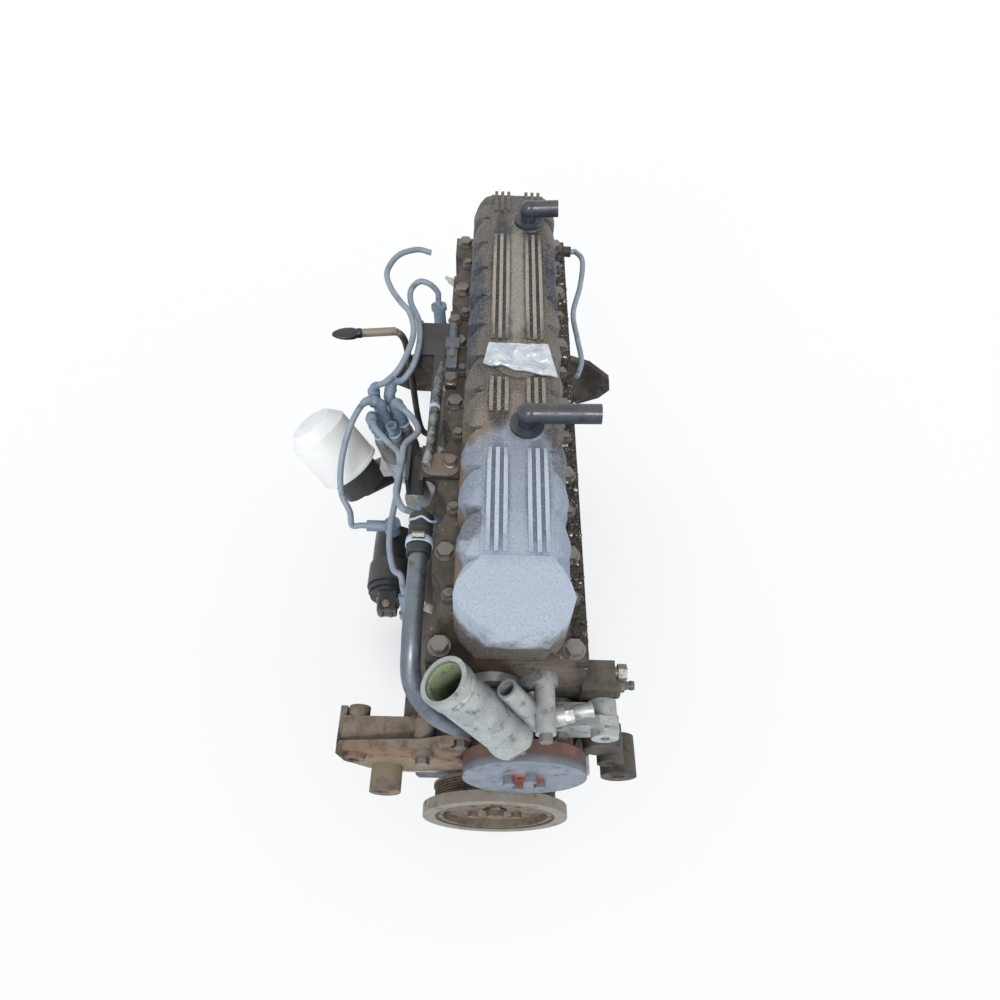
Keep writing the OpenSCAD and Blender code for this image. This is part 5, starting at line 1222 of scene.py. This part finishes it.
@dataclass
class RailFittings:
    """Conduit, connector stack, lug and bolts that lie on the black sheet bracket."""

    top: float = 347.41
    sink: float = 0.02
    stack_x: float = -75.0
    conduit_radius: float = 5.6
    # Route of the conduit, with heights above the sheet
    conduit: tuple[Point, ...] = (
        (-88, -306, 4.6), (-89, -325, 5.4), (-91, -360, 5.6), (-92, -410, 5.6), (-93, -450, 5.6),
        (-96, -478, 5.4))
    # Sections of the conduit's tie, the barrel and the washers, as radius and height
    tie: Outline = ((5.7, 0), (6.9, 0.2), (7.1, 3), (6.9, 5.8), (5.7, 6))
    barrel: Outline = (
        (0.01, 0), (5.4, 0), (6.2, 1), (6.2, 9), (5.6, 10), (5.6, 12), (6.4, 13), (6.4, 25), (5.8, 27),
        (5.8, 30), (0.01, 30))
    washer: Outline = ((3, 0), (9.4, 0), (9.4, 1.3), (3, 1.3))
    washer_height: float = 1.3
    # Width, length, middle and height of each block of the connector stack, its finish and its slot
    blocks: tuple[tuple[str, float, float, float, float, Finish, str], ...] = (
        ("connector_collar", 19, 20, -276, 12.5, CONNECTOR_PLASTIC, "black_plastic"),
        ("connector_body", 14, 36, -303, 10.5, CONNECTOR_PLASTIC, "black_plastic"),
        ("connector_latch", 7, 16, -294, 13.0, BROWN_PLASTIC, "black_plastic"),
        ("connector_foot", 17, 24, -332, 2.6, RUSTY_PLATE, "black_steel"))

    def build(self) -> None:
        """Builds each fitting on top of the sheet."""
        z, x = self.top, self.stack_x
        path = smooth_path([vec((px, py, z + rise)) for px, py, rise in self.conduit], 10)
        keep(tube("rail_conduit", path, self._conduit_radius, 18, WORN_CONDUIT))
        middle = vec((-92, -390, z + self.conduit_radius))
        keep(revolve("conduit_tie", middle, -FORWARD, self.tie, 24, TIE_NYLON))
        rear = vec((x, -236, z + 6.3))
        keep(revolve("connector_barrel", rear, FORWARD, self.barrel, 28, CONNECTOR_PLASTIC))
        for name, width, length, y, height, finish, slot in self.blocks:
            keep(put(self._plate(name, (x, y), rounded(width, length, 2.6), height, 0.9), finish))
        lug = self._plate("bracket_lug", (-79, -473), rounded(44, 33, 13, 8), 2.4, 0.7)
        keep(put(lug, RUSTY_PLATE))
        self._bolts()

    def _conduit_radius(self, along: float) -> float:
        """Gives the conduit's radius in metres, which grows over its first 20 mm."""
        return (self.conduit_radius - 3.2 * max(0.0, 1 - along / 0.02)) * MM

    def _plate(self, name: str, centre: tuple[float, float], outline: Outline, height: float,
               bevel: float) -> Mesh:
        """Makes a block that stands on the sheet.

        Args:
            name: the mesh's name.
            centre: its middle in X and Y.
            outline: its outline about that middle.
            height: its height above the sheet.
            bevel: width of the edge bevel.

        Returns:
            The mesh.
        """
        moved = [(centre[0] + px, centre[1] + py) for px, py in outline]
        return prism(name, moved, self.top - self.sink, self.top + height, bevel)

    def _bolts(self) -> None:
        """Builds the hexagon heads and the washers under them."""
        heads = [(-68, -470, self.top + 3.6), (self.stack_x, -336, self.top + 3.8),
                 (self.stack_x, -221, self.top + 1.2)]
        head = prism("hex_head", ngon(7.6, 6), 0, 6.4, 0.8)
        bolts = Repeater("bracket_bolts").make(
            "bracket_bolts", head, [(vec(p), UP) for p in heads], RUSTY_PLATE, 1.0, 0.06, 2.0)
        keep(bolts)
        washer = turned("washer", Vector(), UP, self.washer, 24)
        feet = [(vec((x, y, z - self.washer_height)), UP) for x, y, z in heads]
        keep(Repeater("bracket_washers").make("bracket_washers", washer, feet, DULL_STEEL))


@dataclass
class DipstickHandle:
    """Rod, collar and leaf-shaped handle of the dipstick, in one moulding. Lengths are in millimetres."""

    low: Point = (-160, -213.5, 319)
    run: Point = (-74, -21, 10)
    reach: float = 48.0
    # Each row gives the place along the stick, half width, half thickness and how round the section is
    sections: tuple[tuple[float, float, float, float], ...] = (
        (-44, 2.5, 2.5, 1.0), (-0.2, 2.5, 2.5, 1.0), (0.2, 6.3, 6.3, 1.0), (1, 7, 7, 1.0), (6.6, 7, 6.8, 1.0),
        (7.4, 7.6, 4.4, 0.8), (9, 9, 4.0, 0.6), (14, 10.6, 3.9, 0.55), (22, 10.9, 3.6, 0.55),
        (30, 9.4, 3.2, 0.6), (36, 6.6, 2.7, 0.7), (39.6, 3.8, 2.0, 0.8), (40.9, 1.6, 0.9, 1.0))

    def build(self) -> None:
        """Builds the dipstick as one skin on its own body."""
        way = Vector(self.run).normalized()
        side = Vector((-way.y, way.x, 0)).normalized()
        rise = way.cross(side)
        foot = vec(self.low) + way * self.reach * MM
        rings = []
        for along, width, thick, bend in self.sections:
            ring = []
            for c, s in circle(32):
                across = math.copysign(abs(c) ** bend, c) * width
                up = math.copysign(abs(s) ** bend, s) * thick
                ring.append(foot + (way * along + side * across + rise * up) * MM)
            rings.append(ring)
        stick = put(rings_mesh("dipstick_handle", rings), COIL_BLACK)
        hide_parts("dipstick")
        keep(stick, Body.DIPSTICK)


@dataclass
class NeckTrim:
    """Scale inside the coolant neck and the rolled bead on its outside."""

    foot: Point = (6, -762, 265.2)
    mouth: Point = (-60, -746, 371.2)
    inside: float = 20.0
    outside: float = 24.0

    def build(self) -> None:
        """Builds the liner and the bead."""
        way = (vec(self.mouth) - vec(self.foot)).normalized()
        liner = [(self.inside + grow, h) for grow, h in (
            (-0.9, -62), (0.02, -62), (0.02, -3), (-0.5, -2.5), (-0.9, -6))]
        keep(revolve("neck_scale", vec(self.mouth), way, liner, 48, NECK_SCALE))
        bead = [(self.outside + grow, h) for grow, h in (
            (-0.5, -19), (0.5, -18.2), (1.3, -16.4), (1.3, -15.2), (0.5, -13.4), (-0.5, -12.6))]
        keep(revolve("neck_bead", vec(self.mouth), way, bead, 48, BARE_ALLOY))


@dataclass
class PumpBracketTrim:
    """Round boss, hexagon and short hose stub on the outer face of the iron pump bracket."""

    face: Point = (123, -698, 244)

    def build(self) -> None:
        """Builds the boss and what is screwed into it."""
        boss = [(0.01, -0.5), (15, -0.5), (15, 6), (13.6, 8), (11, 8), (10.4, 7), (0.01, 7)]
        keep(revolve("bracket_boss", vec(self.face), RIGHT, boss, 36, DARK_IRON))
        hexagon = placed(prism("boss_hexagon", ngon(8.2, 6), 6.8, 14, 0.7), vec(self.face), RIGHT)
        keep(put(hexagon, RUSTY_PLATE))
        stub = [(2.2, 13), (5.4, 13), (5.4, 16), (4.6, 16.8), (4.6, 20), (5.6, 20.8), (5.0, 25), (2.6, 25.4)]
        keep(revolve("boss_stub", vec(self.face), RIGHT, stub, 24, CONNECTOR_PLASTIC))


@dataclass
class CoilConnector:
    """Brown two-pin connector on the front cap of the ignition coil."""

    centre: Point = (-148, -559, 176)

    def build(self) -> None:
        """Builds the housing, its two terminals and its clamp bolt."""
        x, y, z = self.centre
        for name, width, height, depth, bevel, start in (
                ("coil_plug_shell", 25, 22, 26, 1.2, 1), ("coil_plug_rib", 29, 26, 4.5, 0.8, -8)):
            block = prism(name, rounded(width, height, 3.5), 0, depth, bevel)
            keep(put(placed(block, vec((x, y + start, z)), FORWARD), BROWN_PLASTIC))
        pin = prism("terminal", ngon(2.6, 12), 0, 7, 0.4)
        feet = [(vec((x + d, y - 24, z + 2)), FORWARD) for d in (-6, 6)]
        keep(Repeater("coil_terminals").make("coil_terminals", pin, feet, DULL_STEEL))
        bolt = prism("coil_clamp_bolt", ngon(5.4, 6), 0, 7, 0.6)
        keep(put(placed(bolt, vec((x, y - 17, z + 10)), Vector((0, -0.3, 1))), RUSTY_PLATE))


@dataclass
class Crust:
    """Crumbs of baked dirt and flakes of paint on the head."""

    top: float = 333.21
    crumbs: int = 1500
    flakes: int = 26
    # Extents of both kinds in X and Y
    crumb_ledge: tuple[float, float] = (67.5, 83.0)
    crumb_run: tuple[float, float] = (-690, -24)
    flake_ledge: tuple[float, float] = (68, 82)
    flake_run: tuple[float, float] = (-640, -60)

    def build(self) -> None:
        """Scatters both kinds on the ledge of the head."""
        random.seed(12)
        low, high = self.crumb_ledge
        crumb = self._stone("crumb", 0.75)
        places = [(vec((low + (high - low) * random.random() ** 0.8, random.uniform(*self.crumb_run),
                        self.top + 0.1)), UP) for _ in range(self.crumbs)]
        keep(Repeater("crumbs").make("dirt_crumbs", crumb, places, CRUST, 2.5, 0.5, 6.0))
        flake = self._stone("flake", 0.28)
        places = [(vec((random.uniform(*self.flake_ledge), random.uniform(*self.flake_run),
                        self.top + 1.6)), UP) for _ in range(self.flakes)]
        chips = Repeater("flakes").make("paint_flakes", flake, places, PAINT_FLAKE, 2.2, 0.5, 6.0)
        keep(chips)

    @staticmethod
    def _stone(name: str, squash: float) -> Mesh:
        """Makes a small uneven stone with a radius of about a millimetre.

        Args:
            name: the mesh's name.
            squash: its height as a share of its width.

        Returns:
            The mesh.
        """
        mesh = bmesh.new()
        bmesh.ops.create_icosphere(mesh, subdivisions=1, radius=MM)
        for v in mesh.verts:
            v.co *= random.uniform(0.7, 1.15)
            v.co.z *= squash
        return baked(name, mesh)


@dataclass
class Engine:
    """The CAD nodes of the engine and the trim on them."""

    nodes: dict[str, Thing]

    def dress(self) -> None:
        """Gives each CAD node its finish."""
        for name, item in self.nodes.items():
            finish = NODE_FINISH.get(name)
            if finish is None:
                raise ValueError(f"no finish for {name}")
            material = SHOP.get(finish)
            if not item.material_slots:
                item.data.materials.append(material)
            for slot in item.material_slots:
                slot.material = material
            LOG.info("node %s: %s", name, finish.name)


def main() -> None:
    """Builds the camera, the leads, the trim and the studio in order."""
    logging.basicConfig(level=logging.INFO, format="%(name)s: %(message)s")
    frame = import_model()
    View().build()
    engine = Engine(frame["nodes"])
    Ignition().build()
    engine.dress()
    FoilPatch().build()
    HeaterLine().build()
    RailFittings().build()
    DipstickHandle().build()
    NeckTrim().build()
    CoilConnector().build()
    PumpBracketTrim().build()
    Crust().build()
    Studio().build()


if __name__ == "__main__":
    main()
